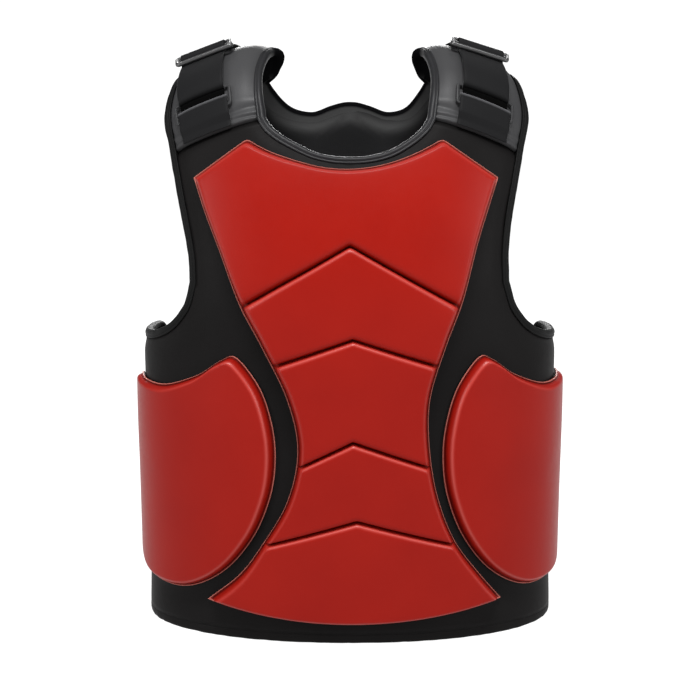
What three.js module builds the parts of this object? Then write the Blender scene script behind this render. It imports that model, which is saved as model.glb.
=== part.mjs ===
// A padded chest guard for combat sports: a sleeveless vest of leather-covered foam that stands on its hem,
// with a sewn chest pad, two rib pads, shoulder pads, bound edges and webbing straps with slide buckles.
// Millimetres, +Z up. The front faces -Y, +X is the wearer's left, and the origin is under the vest's middle.
import * as THREE from "three";

// Driving dimensions
const GAP = 0.3; // clearance between neighbouring pieces
const WALL = 12; // leather, foam and lining of the vest together
const BINDING_WIDTH = { neck: 5, arm: 8 }; // how far a bound edge stands past the panel that it closes
const BINDING_PROUD = 1; // how far a binding stands above the leather on each side
const HEM_HEIGHT = 9;
const HEM_ROUND = 2; // turned corner of the hem's tape
const HEM_SEAM_ANGLE = 0.05; // degrees from the middle to the end of each half of the hem's tape
const SIDE_SEAM_ANGLE = 104; // degrees round from the front, just behind the arm
const SEAM_GAP_ANGLE = 0.2; // degrees, about a third of a millimetre at the side
const PAD_CLEARANCE = 1.2; // under the sewn pads, because both faces are faceted

// The vest's outer form: a rounded oblong at each height.
// Depths are from the side line to the front and to the back.
// Squareness is the power of the oblong: 2 is an ellipse, and more is squarer.
const BODY_SECTIONS = [
  { height: 0, halfWidth: 217, frontDepth: 120, backDepth: 112, squareness: 2.1 },
  { height: 130, halfWidth: 217, frontDepth: 127, backDepth: 113, squareness: 2.3 },
  { height: 250, halfWidth: 218, frontDepth: 132, backDepth: 117, squareness: 2.4 },
  { height: 350, halfWidth: 216, frontDepth: 132, backDepth: 121, squareness: 2.4 },
  { height: 440, halfWidth: 208, frontDepth: 118, backDepth: 118, squareness: 2.4 },
  { height: 560, halfWidth: 192, frontDepth: 76, backDepth: 98, squareness: 2.4 },
];

// Half outlines of the two panels along their seams, inside the bindings.
// Each edge is read from the middle outwards or from below upwards.
const FRONT_PANEL = {
  facing: "front",
  joinHeight: 368, // where the band round the waist meets the yoke
  neck: [
    { x: 0, height: 485 },
    { x: 38, height: 490 },
    { x: 64, height: 503 },
    { x: 80, height: 517 },
    { x: 88, height: 530 },
  ],
  arm: [
    { x: 154, height: 368 },
    { x: 153, height: 398 },
    { x: 157, height: 434 },
    { x: 164, height: 468 },
    { x: 170, height: 496 },
  ],
  underarm: [
    { angle: 44.5, height: 346 },
    { angle: 48, height: 332 },
    { angle: 53, height: 320 },
    { angle: 62, height: 310 },
    { angle: 80, height: 304 },
    { angle: SIDE_SEAM_ANGLE, height: 303 },
  ],
  columns: { toJoin: 6, toSide: 10 },
};
const BACK_PANEL = {
  facing: "back",
  joinHeight: 360,
  neck: [
    { x: 0, height: 541 },
    { x: 20, height: 537 },
    { x: 42, height: 530 },
    { x: 64, height: 536 },
    { x: 82, height: 561 },
  ],
  arm: [
    { x: 132, height: 360 },
    { x: 126, height: 400 },
    { x: 128, height: 450 },
    { x: 137, height: 500 },
    { x: 146, height: 534 },
  ],
  underarm: [
    { angle: 38, height: 333 },
    { angle: 44, height: 312 },
    { angle: 54, height: 296 },
    { angle: 65, height: 296 },
    { angle: 180 - SIDE_SEAM_ANGLE - SEAM_GAP_ANGLE, height: 303 },
  ],
  columns: { toJoin: 6, toSide: 6 },
};
const UNDERARM_EASE = 1.3; // over 1 sets the columns closer where the edge turns up to the armhole
const BAND_ROWS = 6;
const HEM_STATIONS = 20; // along each half of the hem
const YOKE_ROWS = { belowNeck: 4, besideNeck: 6 };

// Shoulder pads: the neck edge and the arm edge of their outer face, from the front seam to the back seam.
const SHOULDER_SECTIONS = [
  { neck: { x: 93, y: -66, z: 557 }, arm: { x: 176, y: -50, z: 532 } },
  { neck: { x: 92, y: -42, z: 580 }, arm: { x: 174, y: -30, z: 557 } },
  { neck: { x: 86, y: -12, z: 597.5 }, arm: { x: 169, y: -4, z: 573 } },
  { neck: { x: 78, y: 22, z: 601.5 }, arm: { x: 161, y: 26, z: 575 } },
  { neck: { x: 73, y: 54, z: 593 }, arm: { x: 152, y: 54, z: 563 } },
];
const SHOULDER_BLEND = 0.3; // share of the pad over which a panel's curve passes to the pad's own section
const SHOULDER_CROWN = { rise: 9.5, power: 3 }; // how the foam stands up between the pad's edges
const SHOULDER_GRID = { along: 12, across: 6 }; // across as the panels, so that the seams match

// Chest pad: how far it reaches to the wearer's right and left at each height.
// It is sewn a little off the middle.
const CHEST_OUTLINE = [
  { height: 43, right: 142, left: 155 },
  { height: 72, right: 111, left: 130 },
  { height: 105, right: 88, left: 107 },
  { height: 150, right: 63, left: 89 },
  { height: 205, right: 52, left: 79 },
  { height: 255, right: 62, left: 79 },
  { height: 310, right: 88, left: 95 },
  { height: 350, right: 109, left: 110 },
  { height: 410, right: 132, left: 126 },
  { height: 470, right: 154, left: 146 },
];
// The pad's bottom edge, the sewn channels that part its five segments, and its top edge.
const CHEST_BOTTOM = { x: 2, middle: 21, ends: 43 };
const CHEST_CHANNELS = [
  { x: 7, middle: 134, ends: 106 },
  { x: 3, middle: 215, ends: 187 },
  { x: 3, middle: 317, ends: 289 },
  { x: 0, middle: 406, ends: 345 },
];
const CHEST_TOP = { x: -4, middle: 476, peak: 506, ends: 470, peakShare: 0.63 };
const CHEST_THICKNESS = 19;
const CHEST_INNER_COLUMNS = [0.7, 0.47, 0.235, 0]; // shares of the half-width inside the rounded edge

// Rib pads: points round the outline, from the peak at the front down, back and up again.
const RIB_OUTLINE = [
  { angle: 29, height: 296 },
  { angle: 22.5, height: 268 },
  { angle: 19.3, height: 232 },
  { angle: 18.6, height: 195 },
  { angle: 20.5, height: 155 },
  { angle: 26, height: 112 },
  { angle: 35.5, height: 75 },
  { angle: 48, height: 53 },
  { angle: 62, height: 48 },
  { angle: 80, height: 56 },
  { angle: 95, height: 84 },
  { angle: 99.5, height: 130 },
  { angle: 100, height: 180 },
  { angle: 99, height: 230 },
  { angle: 91, height: 262 },
  { angle: 75, height: 262 },
  { angle: 58, height: 263 },
  { angle: 43, height: 276 },
  { angle: 34, height: 293 },
];
const RIB_CENTRE = { angle: 55, height: 165 };
const RIB_SPOKES = 32;
const RIB_THICKNESS = { front: 13, side: 7, frontAngle: 20, sideAngle: 85 };
const RIB_SHIFT = { left: 2.5, right: -2.5 }; // degrees: the pads follow the chest pad's place
const RIB_INNER_RINGS = [0.7, 0.48, 0.24, 0]; // shares of the way from the centre to the outline

// A sewn pad rises from a thin flange at its outline to its full thickness.
const PAD_FLANGE = 2.6;
const PAD_PROFILE = [
  { inset: 0, share: 0 },
  { inset: 4, share: 0.02 },
  { inset: 8, share: 0.6 },
  { inset: 18, share: 0.93 },
];
const CHANNEL_PROFILE = [
  { inset: 0, share: 0.3 },
  { inset: 3, share: 0.62 },
  { inset: 9, share: 0.93 },
];

// Webbing straps: each is threaded through a slide buckle on top of the shoulder, under the outer bars and
// over the middle bar. Its front end is tucked under a flap that is sewn in at the front seam.
const STRAP = { width: 48, thickness: 2.2 };
// The straps' centres, as shares of the way from the shoulder pad's neck edge to its arm edge.
const STRAP_CENTRES = {
  left: { front: 0.5, buckle: 0.58, back: 0.55 },
  right: { front: 0.585, buckle: 0.68, back: 0.58 },
};
const STRAP_STRAIGHT = { near: 22, far: 46 }; // how far from the buckle the webbing stays straight across
const WEBBING_CLEARANCE = 0.8; // over the shoulder pad, because both are faceted
const STRAP_TUCK = 16; // length of the strap under the flap
const STRAP_FRONT_LENGTH = 52; // from the buckle's front bar to the flap
const STRAP_BACK_MARGIN = 2; // from the strap's end to the back panel's seam
const STRAP_FALL = 30; // length over which the strap comes down behind the buckle
// How the strap bows out between the flap and the buckle
const STRAP_SLACK = { gap: 4, bulge: 9.5, ease: 16, lean: 1.5 };
const FLAP = { width: 54, thickness: 2, seamMargin: 1, ramp: 7 };
const BUCKLE = {
  alongShare: 0.47, // its place on the shoulder pad, from the front seam
  length: 63,
  width: 24,
  bar: 4.5,
  middleBar: 3.5,
  cornerRadius: 4,
  slotRadius: 1,
  bevel: 1.6,
};
const BUCKLE_LIFT = 6.8; // centre of the buckle above the shoulder pad
const THREAD_DEPTH = 4.5; // from the buckle's plane to the middle of the webbing under or over a bar
const RIBBON_STEPS = { tuck: 2, bow: 10, thread: 16, fall: 8, back: 7, across: 2, flap: 4 };

const BLACK_LEATHER = new THREE.MeshStandardMaterial({ color: 0x1d1c1e, roughness: 0.5, metalness: 0 });
const GREY_LEATHER = new THREE.MeshStandardMaterial({ color: 0x343436, roughness: 0.5, metalness: 0 });
const RED_LEATHER = new THREE.MeshStandardMaterial({ color: 0xa82018, roughness: 0.42, metalness: 0 });
const BLACK_TAPE = new THREE.MeshStandardMaterial({ color: 0x2a2a2c, roughness: 0.6, metalness: 0 });
const BLACK_WEBBING = new THREE.MeshStandardMaterial({ color: 0x232324, roughness: 0.85, metalness: 0 });
const BLACK_METAL = new THREE.MeshStandardMaterial({ color: 0x18181a, roughness: 0.35, metalness: 0.6 });

const { degToRad, lerp } = THREE.MathUtils;

// The vest's outer form

const bodySizes = new THREE.CubicInterpolant(
  BODY_SECTIONS.map((row) => row.height),
  BODY_SECTIONS.flatMap((row) => [row.halfWidth, row.frontDepth, row.backDepth, row.squareness]),
  4,
);

// The point of the outer form at an angle round from the front towards +X, in radians, and a height.
function bodySurface(angle, height) {
  const [halfWidth, frontDepth, backDepth, squareness] = bodySizes.evaluate(height);
  const signedPower = (value) => Math.sign(value) * Math.abs(value) ** (2 / squareness);
  const depth = Math.cos(angle) > 0 ? frontDepth : backDepth;
  const x = halfWidth * signedPower(Math.sin(angle));
  const y = -depth * signedPower(Math.cos(angle));
  return new THREE.Vector3(x, y, height);
}

function bodyNormal(angle, height) {
  const step = 1e-3;
  const across = bodySurface(angle + step, height).sub(bodySurface(angle - step, height));
  const up = bodySurface(angle, height + 1).sub(bodySurface(angle, height - 1));
  return across.cross(up).normalize();
}

function bodyPoint(angle, height, lift) {
  return bodySurface(angle, height).addScaledVector(bodyNormal(angle, height), lift);
}

// The angle, from the middle of the front or of the back, at which the form is x wide of the middle.
function angleAt(x, height) {
  const [halfWidth, , , squareness] = bodySizes.evaluate(height);
  return Math.sign(x) * Math.asin(Math.min(1, Math.abs(x) / halfWidth) ** (squareness / 2));
}

// Closed solids from sheets and loops

// Rows and columns of corners as a list of four-cornered faces.
function gridFaces(rows, columns, cornerAt) {
  const corners = Array.from({ length: rows + 1 }, (_, r) =>
    Array.from({ length: columns + 1 }, (_, c) => cornerAt(r, c)),
  );
  const faces = [];
  for (let r = 0; r < rows; r++) {
    for (let c = 0; c < columns; c++) {
      faces.push([corners[r][c], corners[r][c + 1], corners[r + 1][c + 1], corners[r + 1][c]]);
    }
  }
  return faces;
}

function indexedGeometry(points, triangles) {
  const geometry = new THREE.BufferGeometry().setFromPoints(points);
  geometry.setIndex(triangles.flat());
  geometry.computeVertexNormals();
  return geometry;
}

// A four-cornered face as two triangles, split along its shorter diagonal so that facing twisted walls match.
function splitFace(points, a, b, c, d) {
  return points[a].distanceTo(points[c]) < points[b].distanceTo(points[d])
    ? [[a, b, c], [a, c, d]]
    : [[a, b, d], [b, c, d]];
}

// A sheet whose corners each have an outer and an inner point, closed by walls along its free edges.
function paddedGeometry(faces) {
  const numbers = new Map();
  const corners = [];
  const numberOf = (corner) => {
    const key = corner.outer.toArray().map((value) => value.toFixed(2)).join();
    if (!numbers.has(key)) {
      numbers.set(key, corners.length);
      corners.push(corner);
    }
    return numbers.get(key);
  };
  const pointsOut = (a, b, c) => {
    const face = new THREE.Triangle(corners[a].outer, corners[b].outer, corners[c].outer);
    const outwards = new THREE.Vector3().subVectors(corners[a].outer, corners[a].inner);
    return face.getNormal(new THREE.Vector3()).dot(outwards) > 0;
  };
  const sheet = [];
  for (const face of faces) {
    const [a, b, c, d] = face.map(numberOf);
    for (const [p, q, r] of [[a, b, c], [a, c, d]]) {
      if (p !== q && q !== r && r !== p) sheet.push(pointsOut(p, q, r) ? [p, q, r] : [p, r, q]);
    }
  }
  const inside = corners.length;
  const points = [...corners.map((corner) => corner.outer), ...corners.map((corner) => corner.inner)];
  const triangles = sheet.flatMap(([a, b, c]) => [[a, b, c], [a + inside, c + inside, b + inside]]);
  const edges = new Set(sheet.flatMap(([a, b, c]) => [`${a},${b}`, `${b},${c}`, `${c},${a}`]));
  for (const [a, b, c] of sheet) {
    for (const [p, q] of [[a, b], [b, c], [c, a]]) {
      if (!edges.has(`${q},${p}`)) triangles.push(...splitFace(points, q, p, p + inside, q + inside));
    }
  }
  return indexedGeometry(points, triangles);
}

// A ring of equal sections, each a closed list of points, joined in order and back to the first.
function ringGeometry(sections) {
  const sides = sections[0].length;
  const points = sections.flat();
  const at = (s, k) => (s % sections.length) * sides + (k % sides);
  const triangles = [];
  sections.forEach((_, s) => {
    for (let k = 0; k < sides; k++) {
      triangles.push(...splitFace(points, at(s, k), at(s + 1, k), at(s + 1, k + 1), at(s, k + 1)));
    }
  });
  return indexedGeometry(points, triangles);
}

// An open row of equal sections, closed by a flat face at each end.
function rodGeometry(sections) {
  const sides = sections[0].length;
  const last = sections.length - 1;
  const points = sections.flat();
  const at = (s, k) => s * sides + (k % sides);
  const triangles = [];
  for (let s = 0; s < last; s++) {
    for (let k = 0; k < sides; k++) {
      triangles.push(...splitFace(points, at(s, k), at(s + 1, k), at(s + 1, k + 1), at(s, k + 1)));
    }
  }
  for (let k = 1; k < sides - 1; k++) {
    triangles.push([at(0, 0), at(0, k), at(0, k + 1)], [at(last, 0), at(last, k + 1), at(last, k)]);
  }
  return indexedGeometry(points, triangles);
}

// Panels

// A smooth edge through table rows, as a function of a share from 0 to 1.
// With mirrored, it is level at its first row.
function edgeCurve(points, mirrored = false) {
  const reflected = points.slice(1).reverse().map((point) => new THREE.Vector2(-point.x, point.y));
  const curve = new THREE.SplineCurve(mirrored ? [...reflected, ...points] : points);
  return (share) => curve.getPoint(mirrored ? 0.5 + share / 2 : share);
}

const byWidth = ({ x, height }) => new THREE.Vector2(angleAt(x, height), height);
const byAngle = ({ angle, height }) => new THREE.Vector2(degToRad(angle), height);

// The edge under the arm, as a function of a share from the armhole to the side seam.
function underarmCurve(points) {
  const heights = new THREE.CubicInterpolant(
    points.map((point) => point.x),
    points.map((point) => point.y),
    1,
  );
  return (share) => {
    const angle = lerp(points[0].x, points.at(-1).x, share ** UNDERARM_EASE);
    return new THREE.Vector2(angle, heights.evaluate(angle)[0]);
  };
}

// A panel's edges in pattern coordinates: the angle from the panel's middle, and the height.
function panelEdges(panel) {
  const arm = panel.arm.map(byWidth);
  return {
    neck: edgeCurve(panel.neck.map(byWidth), true),
    arm: edgeCurve(arm),
    underarm: underarmCurve([arm[0], ...panel.underarm.map(byAngle)]),
    join: arm[0],
  };
}

// The body angle of a pattern angle on one side of a panel: side is 1 on +X and -1 on -X.
function bodyAngle(panel, side, patternAngle) {
  return side * (panel.facing === "front" ? patternAngle : Math.PI - patternAngle);
}

const yokeRows = YOKE_ROWS.belowNeck + YOKE_ROWS.besideNeck;

function panelGeometry(panel) {
  const edges = panelEdges(panel);
  const { toJoin, toSide } = panel.columns;
  const neckBottom = panel.neck[0].height;
  const faces = [];
  for (const side of [-1, 1]) {
    const corner = (patternAngle, height) => {
      const angle = bodyAngle(panel, side, patternAngle);
      return { outer: bodyPoint(angle, height, 0), inner: bodyPoint(angle, height, -WALL) };
    };
    const bandTop = (c) =>
      c <= toJoin
        ? new THREE.Vector2((edges.join.x * c) / toJoin, panel.joinHeight)
        : edges.underarm((c - toJoin) / toSide);
    const bandCorner = (r, c) => {
      const top = bandTop(c);
      return corner(top.x, lerp(HEM_HEIGHT + GAP, top.y, r / BAND_ROWS));
    };
    const yokeInner = (r) =>
      r <= YOKE_ROWS.belowNeck
        ? new THREE.Vector2(0, lerp(panel.joinHeight, neckBottom, r / YOKE_ROWS.belowNeck))
        : edges.neck((r - YOKE_ROWS.belowNeck) / YOKE_ROWS.besideNeck);
    const yokeCorner = (r, c) => {
      const rib = yokeInner(r).lerp(edges.arm(r / yokeRows), c / toJoin);
      return corner(rib.x, rib.y);
    };
    faces.push(...gridFaces(BAND_ROWS, toJoin + toSide, bandCorner));
    faces.push(...gridFaces(yokeRows, toJoin, yokeCorner));
  }
  return paddedGeometry(faces);
}

// Shoulder pads, modelled on +X and mirrored for -X

// A point of a panel's shoulder seam, and its outward direction, at a share from the neck edge to the arm.
function seamAt(panel, across) {
  const edges = panelEdges(panel);
  const rib = edges.neck(1).lerp(edges.arm(1), across);
  const angle = bodyAngle(panel, 1, rib.x);
  return { point: bodySurface(angle, rib.y), normal: bodyNormal(angle, rib.y) };
}

const shoulderEdge = (edge, across) =>
  new THREE.CatmullRomCurve3([
    seamAt(FRONT_PANEL, across).point,
    ...SHOULDER_SECTIONS.map((row) => new THREE.Vector3().copy(row[edge])),
    seamAt(BACK_PANEL, across).point,
  ]);
const shoulderNeckEdge = shoulderEdge("neck", 0);
const shoulderArmEdge = shoulderEdge("arm", 1);
const shoulderLength = (shoulderNeckEdge.getLength() + shoulderArmEdge.getLength()) / 2;

// How far a seam's curve stands off the straight line between its ends.
function seamBulge(panel, across) {
  const straight = seamAt(panel, 0).point.lerp(seamAt(panel, 1).point, across);
  return seamAt(panel, across).point.sub(straight);
}

const fadeFromSeam = (share) => 1 - THREE.MathUtils.smoothstep(share, 0, SHOULDER_BLEND);

function shoulderCrown(along, across) {
  const { rise, power } = SHOULDER_CROWN;
  const section = 1 - Math.abs(2 * across - 1) ** power;
  return rise * section * (1 - fadeFromSeam(along)) * (1 - fadeFromSeam(1 - along));
}

// The outer face of the shoulder pad at a share along it, front to back, and across it, neck to arm.
function shoulderSurface(along, across) {
  const share = THREE.MathUtils.clamp(along, 0, 1);
  return shoulderNeckEdge
    .getPointAt(share)
    .lerp(shoulderArmEdge.getPointAt(share), across)
    .addScaledVector(seamBulge(FRONT_PANEL, across), fadeFromSeam(share))
    .addScaledVector(seamBulge(BACK_PANEL, across), fadeFromSeam(1 - share))
    .add(new THREE.Vector3(0, 0, shoulderCrown(share, across)));
}

// Outward direction there. At the seams it is the panel's own, so that the end faces lie side by side.
function shoulderNormal(along, across) {
  const step = 0.01;
  const forward = shoulderSurface(along + step, across).sub(shoulderSurface(along - step, across));
  const sideways = shoulderSurface(along, across + step).sub(shoulderSurface(along, across - step));
  const own = sideways.cross(forward).normalize();
  const atFront = fadeFromSeam(along * 2);
  const atBack = fadeFromSeam((1 - along) * 2);
  return own
    .multiplyScalar(1 - atFront - atBack)
    .addScaledVector(seamAt(FRONT_PANEL, across).normal, atFront)
    .addScaledVector(seamAt(BACK_PANEL, across).normal, atBack)
    .normalize();
}

function shoulderPoint(along, across, lift) {
  return shoulderSurface(along, across).addScaledVector(shoulderNormal(along, across), lift);
}

// The pad keeps its clearance to both panels.
const shoulderShare = (share) => lerp(GAP / shoulderLength, 1 - GAP / shoulderLength, share);

function shoulderPadGeometry() {
  const corner = (r, c) => {
    const along = shoulderShare(r / SHOULDER_GRID.along);
    const across = c / SHOULDER_GRID.across;
    return { outer: shoulderPoint(along, across, 0), inner: shoulderPoint(along, across, -WALL) };
  };
  return paddedGeometry(gridFaces(SHOULDER_GRID.along, SHOULDER_GRID.across, corner));
}

// Bound edges

// The binding's section: how far past the seam, as a share of its width, and out from the wall's middle.
const BINDING_HALF = WALL / 2 + BINDING_PROUD;
const BINDING_SECTION = [
  { past: 0, out: 0.9 * BINDING_HALF },
  { past: 0.5, out: BINDING_HALF },
  { past: 0.9, out: 0.6 * BINDING_HALF },
  { past: 1, out: 0 },
  { past: 0.9, out: -0.6 * BINDING_HALF },
  { past: 0.5, out: -BINDING_HALF },
  { past: 0, out: -0.9 * BINDING_HALF },
];

// Stations along an edge are points in the middle of the wall with the wall's outward direction.
function panelStations(panel, side, edge, shares) {
  return shares.map((share) => {
    const at = edge(share);
    const angle = bodyAngle(panel, side, at.x);
    return { point: bodyPoint(angle, at.y, -WALL / 2), normal: bodyNormal(angle, at.y) };
  });
}

function shoulderStations(across, shares) {
  return shares.map((share) => {
    const along = shoulderShare(share);
    return { point: shoulderPoint(along, across, -WALL / 2), normal: shoulderNormal(along, across) };
  });
}

const mirrorStation = ({ point, normal }) => ({
  point: point.clone().setX(-point.x),
  normal: normal.clone().setX(-normal.x),
});

// The shares of an edge at which its panel has corners, so that a binding stays clear along every facet.
function cornerShares(steps, first, last) {
  return Array.from({ length: last - first + 1 }, (_, k) => (first + k) / steps);
}

// A tape folded over the edge of the wall. Seen from outside, the panel lies on the right of the stations.
function bindingGeometry(stations, width) {
  const sections = stations.map(({ point, normal }, k) => {
    const before = stations[(k + stations.length - 1) % stations.length].point;
    const after = stations[(k + 1) % stations.length].point;
    const past = normal.clone().cross(new THREE.Vector3().subVectors(after, before)).normalize();
    return BINDING_SECTION.map((corner) =>
      point.clone().addScaledVector(past, lerp(GAP, width, corner.past)).addScaledVector(normal, corner.out),
    );
  });
  return ringGeometry(sections);
}

const neckShares = cornerShares(YOKE_ROWS.besideNeck, 0, YOKE_ROWS.besideNeck);
const armShares = cornerShares(yokeRows, 1, yokeRows);
const shoulderShares = cornerShares(SHOULDER_GRID.along, 1, SHOULDER_GRID.along - 1);

function neckBindingGeometry() {
  const front = panelStations(FRONT_PANEL, 1, panelEdges(FRONT_PANEL).neck, neckShares);
  const shoulder = shoulderStations(0, shoulderShares);
  const back = panelStations(BACK_PANEL, 1, panelEdges(BACK_PANEL).neck, neckShares).reverse();
  const half = [...front, ...shoulder, ...back];
  const otherHalf = half.slice(1, -1).reverse().map(mirrorStation);
  return bindingGeometry([...half, ...otherHalf], BINDING_WIDTH.neck);
}

function armBindingGeometry() {
  const front = panelEdges(FRONT_PANEL);
  const back = panelEdges(BACK_PANEL);
  const frontUnderarm = cornerShares(FRONT_PANEL.columns.toSide, 0, FRONT_PANEL.columns.toSide);
  const backUnderarm = cornerShares(BACK_PANEL.columns.toSide, 0, BACK_PANEL.columns.toSide - 1);
  const stations = [
    ...shoulderStations(1, shoulderShares).reverse(),
    ...panelStations(FRONT_PANEL, 1, front.arm, armShares).reverse(),
    ...panelStations(FRONT_PANEL, 1, front.underarm, frontUnderarm),
    ...panelStations(BACK_PANEL, 1, back.underarm, backUnderarm).reverse(),
    ...panelStations(BACK_PANEL, 1, back.arm, armShares),
  ];
  return bindingGeometry(stations, BINDING_WIDTH.arm);
}

// The hem's tape is flat underneath, where the guard stands. Each half runs from the front round to the back.
function hemBindingGeometry() {
  const section = [
    { out: BINDING_PROUD - HEM_ROUND, height: 0 },
    { out: BINDING_PROUD, height: HEM_ROUND },
    { out: BINDING_PROUD, height: HEM_HEIGHT - HEM_ROUND },
    { out: 0, height: HEM_HEIGHT },
    { out: -WALL, height: HEM_HEIGHT },
    { out: -WALL - BINDING_PROUD, height: HEM_HEIGHT - HEM_ROUND },
    { out: -WALL - BINDING_PROUD, height: HEM_ROUND },
    { out: -WALL - BINDING_PROUD + HEM_ROUND, height: 0 },
  ];
  const seamAngle = degToRad(HEM_SEAM_ANGLE);
  const sections = Array.from({ length: HEM_STATIONS + 1 }, (_, s) => {
    const angle = lerp(seamAngle, Math.PI - seamAngle, s / HEM_STATIONS);
    const level = bodyNormal(angle, 0).setZ(0).normalize();
    return section.map(({ out, height }) =>
      bodySurface(angle, 0).setZ(height).addScaledVector(level, out),
    );
  });
  return rodGeometry(sections);
}

// Sewn pads

// The height of a profile at a distance in from an edge, as a share of the full thickness.
function profileShare(profile, inset) {
  const next = profile.findIndex((row) => row.inset >= inset);
  if (next < 0) return 1;
  if (next === 0) return profile[0].share;
  const [low, high] = [profile[next - 1], profile[next]];
  return lerp(low.share, high.share, (inset - low.inset) / (high.inset - low.inset));
}

function padCorner(angle, height, thickness) {
  return {
    outer: bodyPoint(angle, height, PAD_CLEARANCE + thickness),
    inner: bodyPoint(angle, height, PAD_CLEARANCE),
  };
}

const chestReaches = new THREE.CubicInterpolant(
  CHEST_OUTLINE.map((row) => row.height),
  CHEST_OUTLINE.flatMap((row) => [row.right, row.left]),
  2,
);

// The chest pad's cross lines: where the middle is, and the height at a share from the middle to an edge.
const chestLines = [
  { x: CHEST_BOTTOM.x, heightAt: (share) => lerp(CHEST_BOTTOM.middle, CHEST_BOTTOM.ends, share ** 2) },
  ...CHEST_CHANNELS.map(({ x, middle, ends }) => ({ x, heightAt: (share) => lerp(middle, ends, share) })),
  {
    x: CHEST_TOP.x,
    heightAt: (share) =>
      share < CHEST_TOP.peakShare
        ? lerp(CHEST_TOP.middle, CHEST_TOP.peak, (share / CHEST_TOP.peakShare) ** 2)
        : lerp(CHEST_TOP.peak, CHEST_TOP.ends, (share - CHEST_TOP.peakShare) / (1 - CHEST_TOP.peakShare)),
  },
];

// A half row's distances from the pad's edge, given its length: the profile's insets, then even steps.
function chestColumns(length) {
  const insets = PAD_PROFILE.map((row) => row.inset);
  const inner = CHEST_INNER_COLUMNS.map((share) => length - share * (length - insets.at(-1)));
  return [...insets, ...inner];
}

function chestPadGeometry() {
  const faces = [];
  for (let s = 0; s + 1 < chestLines.length; s++) {
    const [lower, upper] = [chestLines[s], chestLines[s + 1]];
    const below = s === 0 ? PAD_PROFILE : CHANNEL_PROFILE;
    const above = s + 2 === chestLines.length ? PAD_PROFILE : CHANNEL_PROFILE;
    const tall = upper.heightAt(0) - lower.heightAt(0);
    const rows = [
      ...below.map((row) => row.inset / tall),
      0.5,
      ...above.map((row) => 1 - row.inset / tall).reverse(),
    ];
    for (const side of [-1, 1]) {
      const corner = (r, c) => {
        const [right, left] = chestReaches.evaluate(lerp(lower.heightAt(1), upper.heightAt(1), rows[r]));
        const middle = lerp(lower.x, upper.x, rows[r]);
        const length = side > 0 ? left - middle : right + middle;
        const inset = chestColumns(length)[c];
        const outwards = 1 - inset / length;
        const height = lerp(lower.heightAt(outwards), upper.heightAt(outwards), rows[r]);
        const share = Math.min(
          profileShare(PAD_PROFILE, inset),
          profileShare(below, rows[r] * tall),
          profileShare(above, (1 - rows[r]) * tall),
        );
        const angle = angleAt(middle + side * (length - inset), height);
        return padCorner(angle, height, lerp(PAD_FLANGE, CHEST_THICKNESS, share));
      };
      faces.push(...gridFaces(rows.length - 1, PAD_PROFILE.length + CHEST_INNER_COLUMNS.length - 1, corner));
    }
  }
  return paddedGeometry(faces);
}

function ribPadGeometry(shift) {
  const outline = new THREE.CatmullRomCurve3(
    RIB_OUTLINE.map((row) => new THREE.Vector3(row.angle + shift, row.height, 0)),
    true,
  );
  const centre = new THREE.Vector3(RIB_CENTRE.angle + shift, RIB_CENTRE.height, 0);
  const edge = outline.getPoints(RIB_SPOKES);
  const inner = RIB_INNER_RINGS.map((part) => ({ part }));
  const rings = [...PAD_PROFILE.map((row) => ({ inset: row.inset })), ...inner];
  const corner = (r, c) => {
    const from = bodySurface(degToRad(edge[c].x), edge[c].y);
    const reach = from.distanceTo(bodySurface(degToRad(centre.x), centre.y));
    const part = rings[r].part ?? 1 - rings[r].inset / reach;
    const at = centre.clone().lerp(edge[c], part);
    const share = profileShare(PAD_PROFILE, (1 - part) * reach);
    const { front, side, frontAngle, sideAngle } = RIB_THICKNESS;
    const thickness = lerp(front, side, THREE.MathUtils.smoothstep(at.x, frontAngle, sideAngle));
    return padCorner(degToRad(at.x), at.y, lerp(PAD_FLANGE, thickness, share));
  };
  return paddedGeometry(gridFaces(rings.length - 1, RIB_SPOKES, corner));
}

// Straps and buckles, laid out by distance along the shoulder pad from the buckle and by height above the pad

function strapCentre(centres, along) {
  const { smoothstep } = THREE.MathUtils;
  return along < BUCKLE.alongShare
    ? lerp(centres.front, centres.buckle, smoothstep(along, 0, BUCKLE.alongShare))
    : lerp(centres.buckle, centres.back, smoothstep(along, BUCKLE.alongShare, 1));
}

// The direction across a strap, from its neck side to its arm side.
function acrossStrap(along, centre) {
  const step = 0.01;
  return shoulderSurface(along, centre + step).sub(shoulderSurface(along, centre - step)).normalize();
}

// A point across a ribbon, from its neck side at part 0 to its arm side at part 1.
// At the buckle the webbing is straight across, and away from it the webbing follows the pad.
function strapPoint(centres, distance, part, lift, width = STRAP.width) {
  const along = BUCKLE.alongShare + distance / shoulderLength;
  const centre = strapCentre(centres, along);
  const padWidth = shoulderSurface(along, 0).distanceTo(shoulderSurface(along, 1));
  const aside = (part - 0.5) * width;
  const straight = shoulderPoint(along, centre, lift).addScaledVector(acrossStrap(along, centre), aside);
  const onPad = shoulderPoint(along, centre + aside / padWidth, lift);
  return straight.lerp(
    onPad,
    THREE.MathUtils.smoothstep(Math.abs(distance), STRAP_STRAIGHT.near, STRAP_STRAIGHT.far),
  );
}

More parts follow.
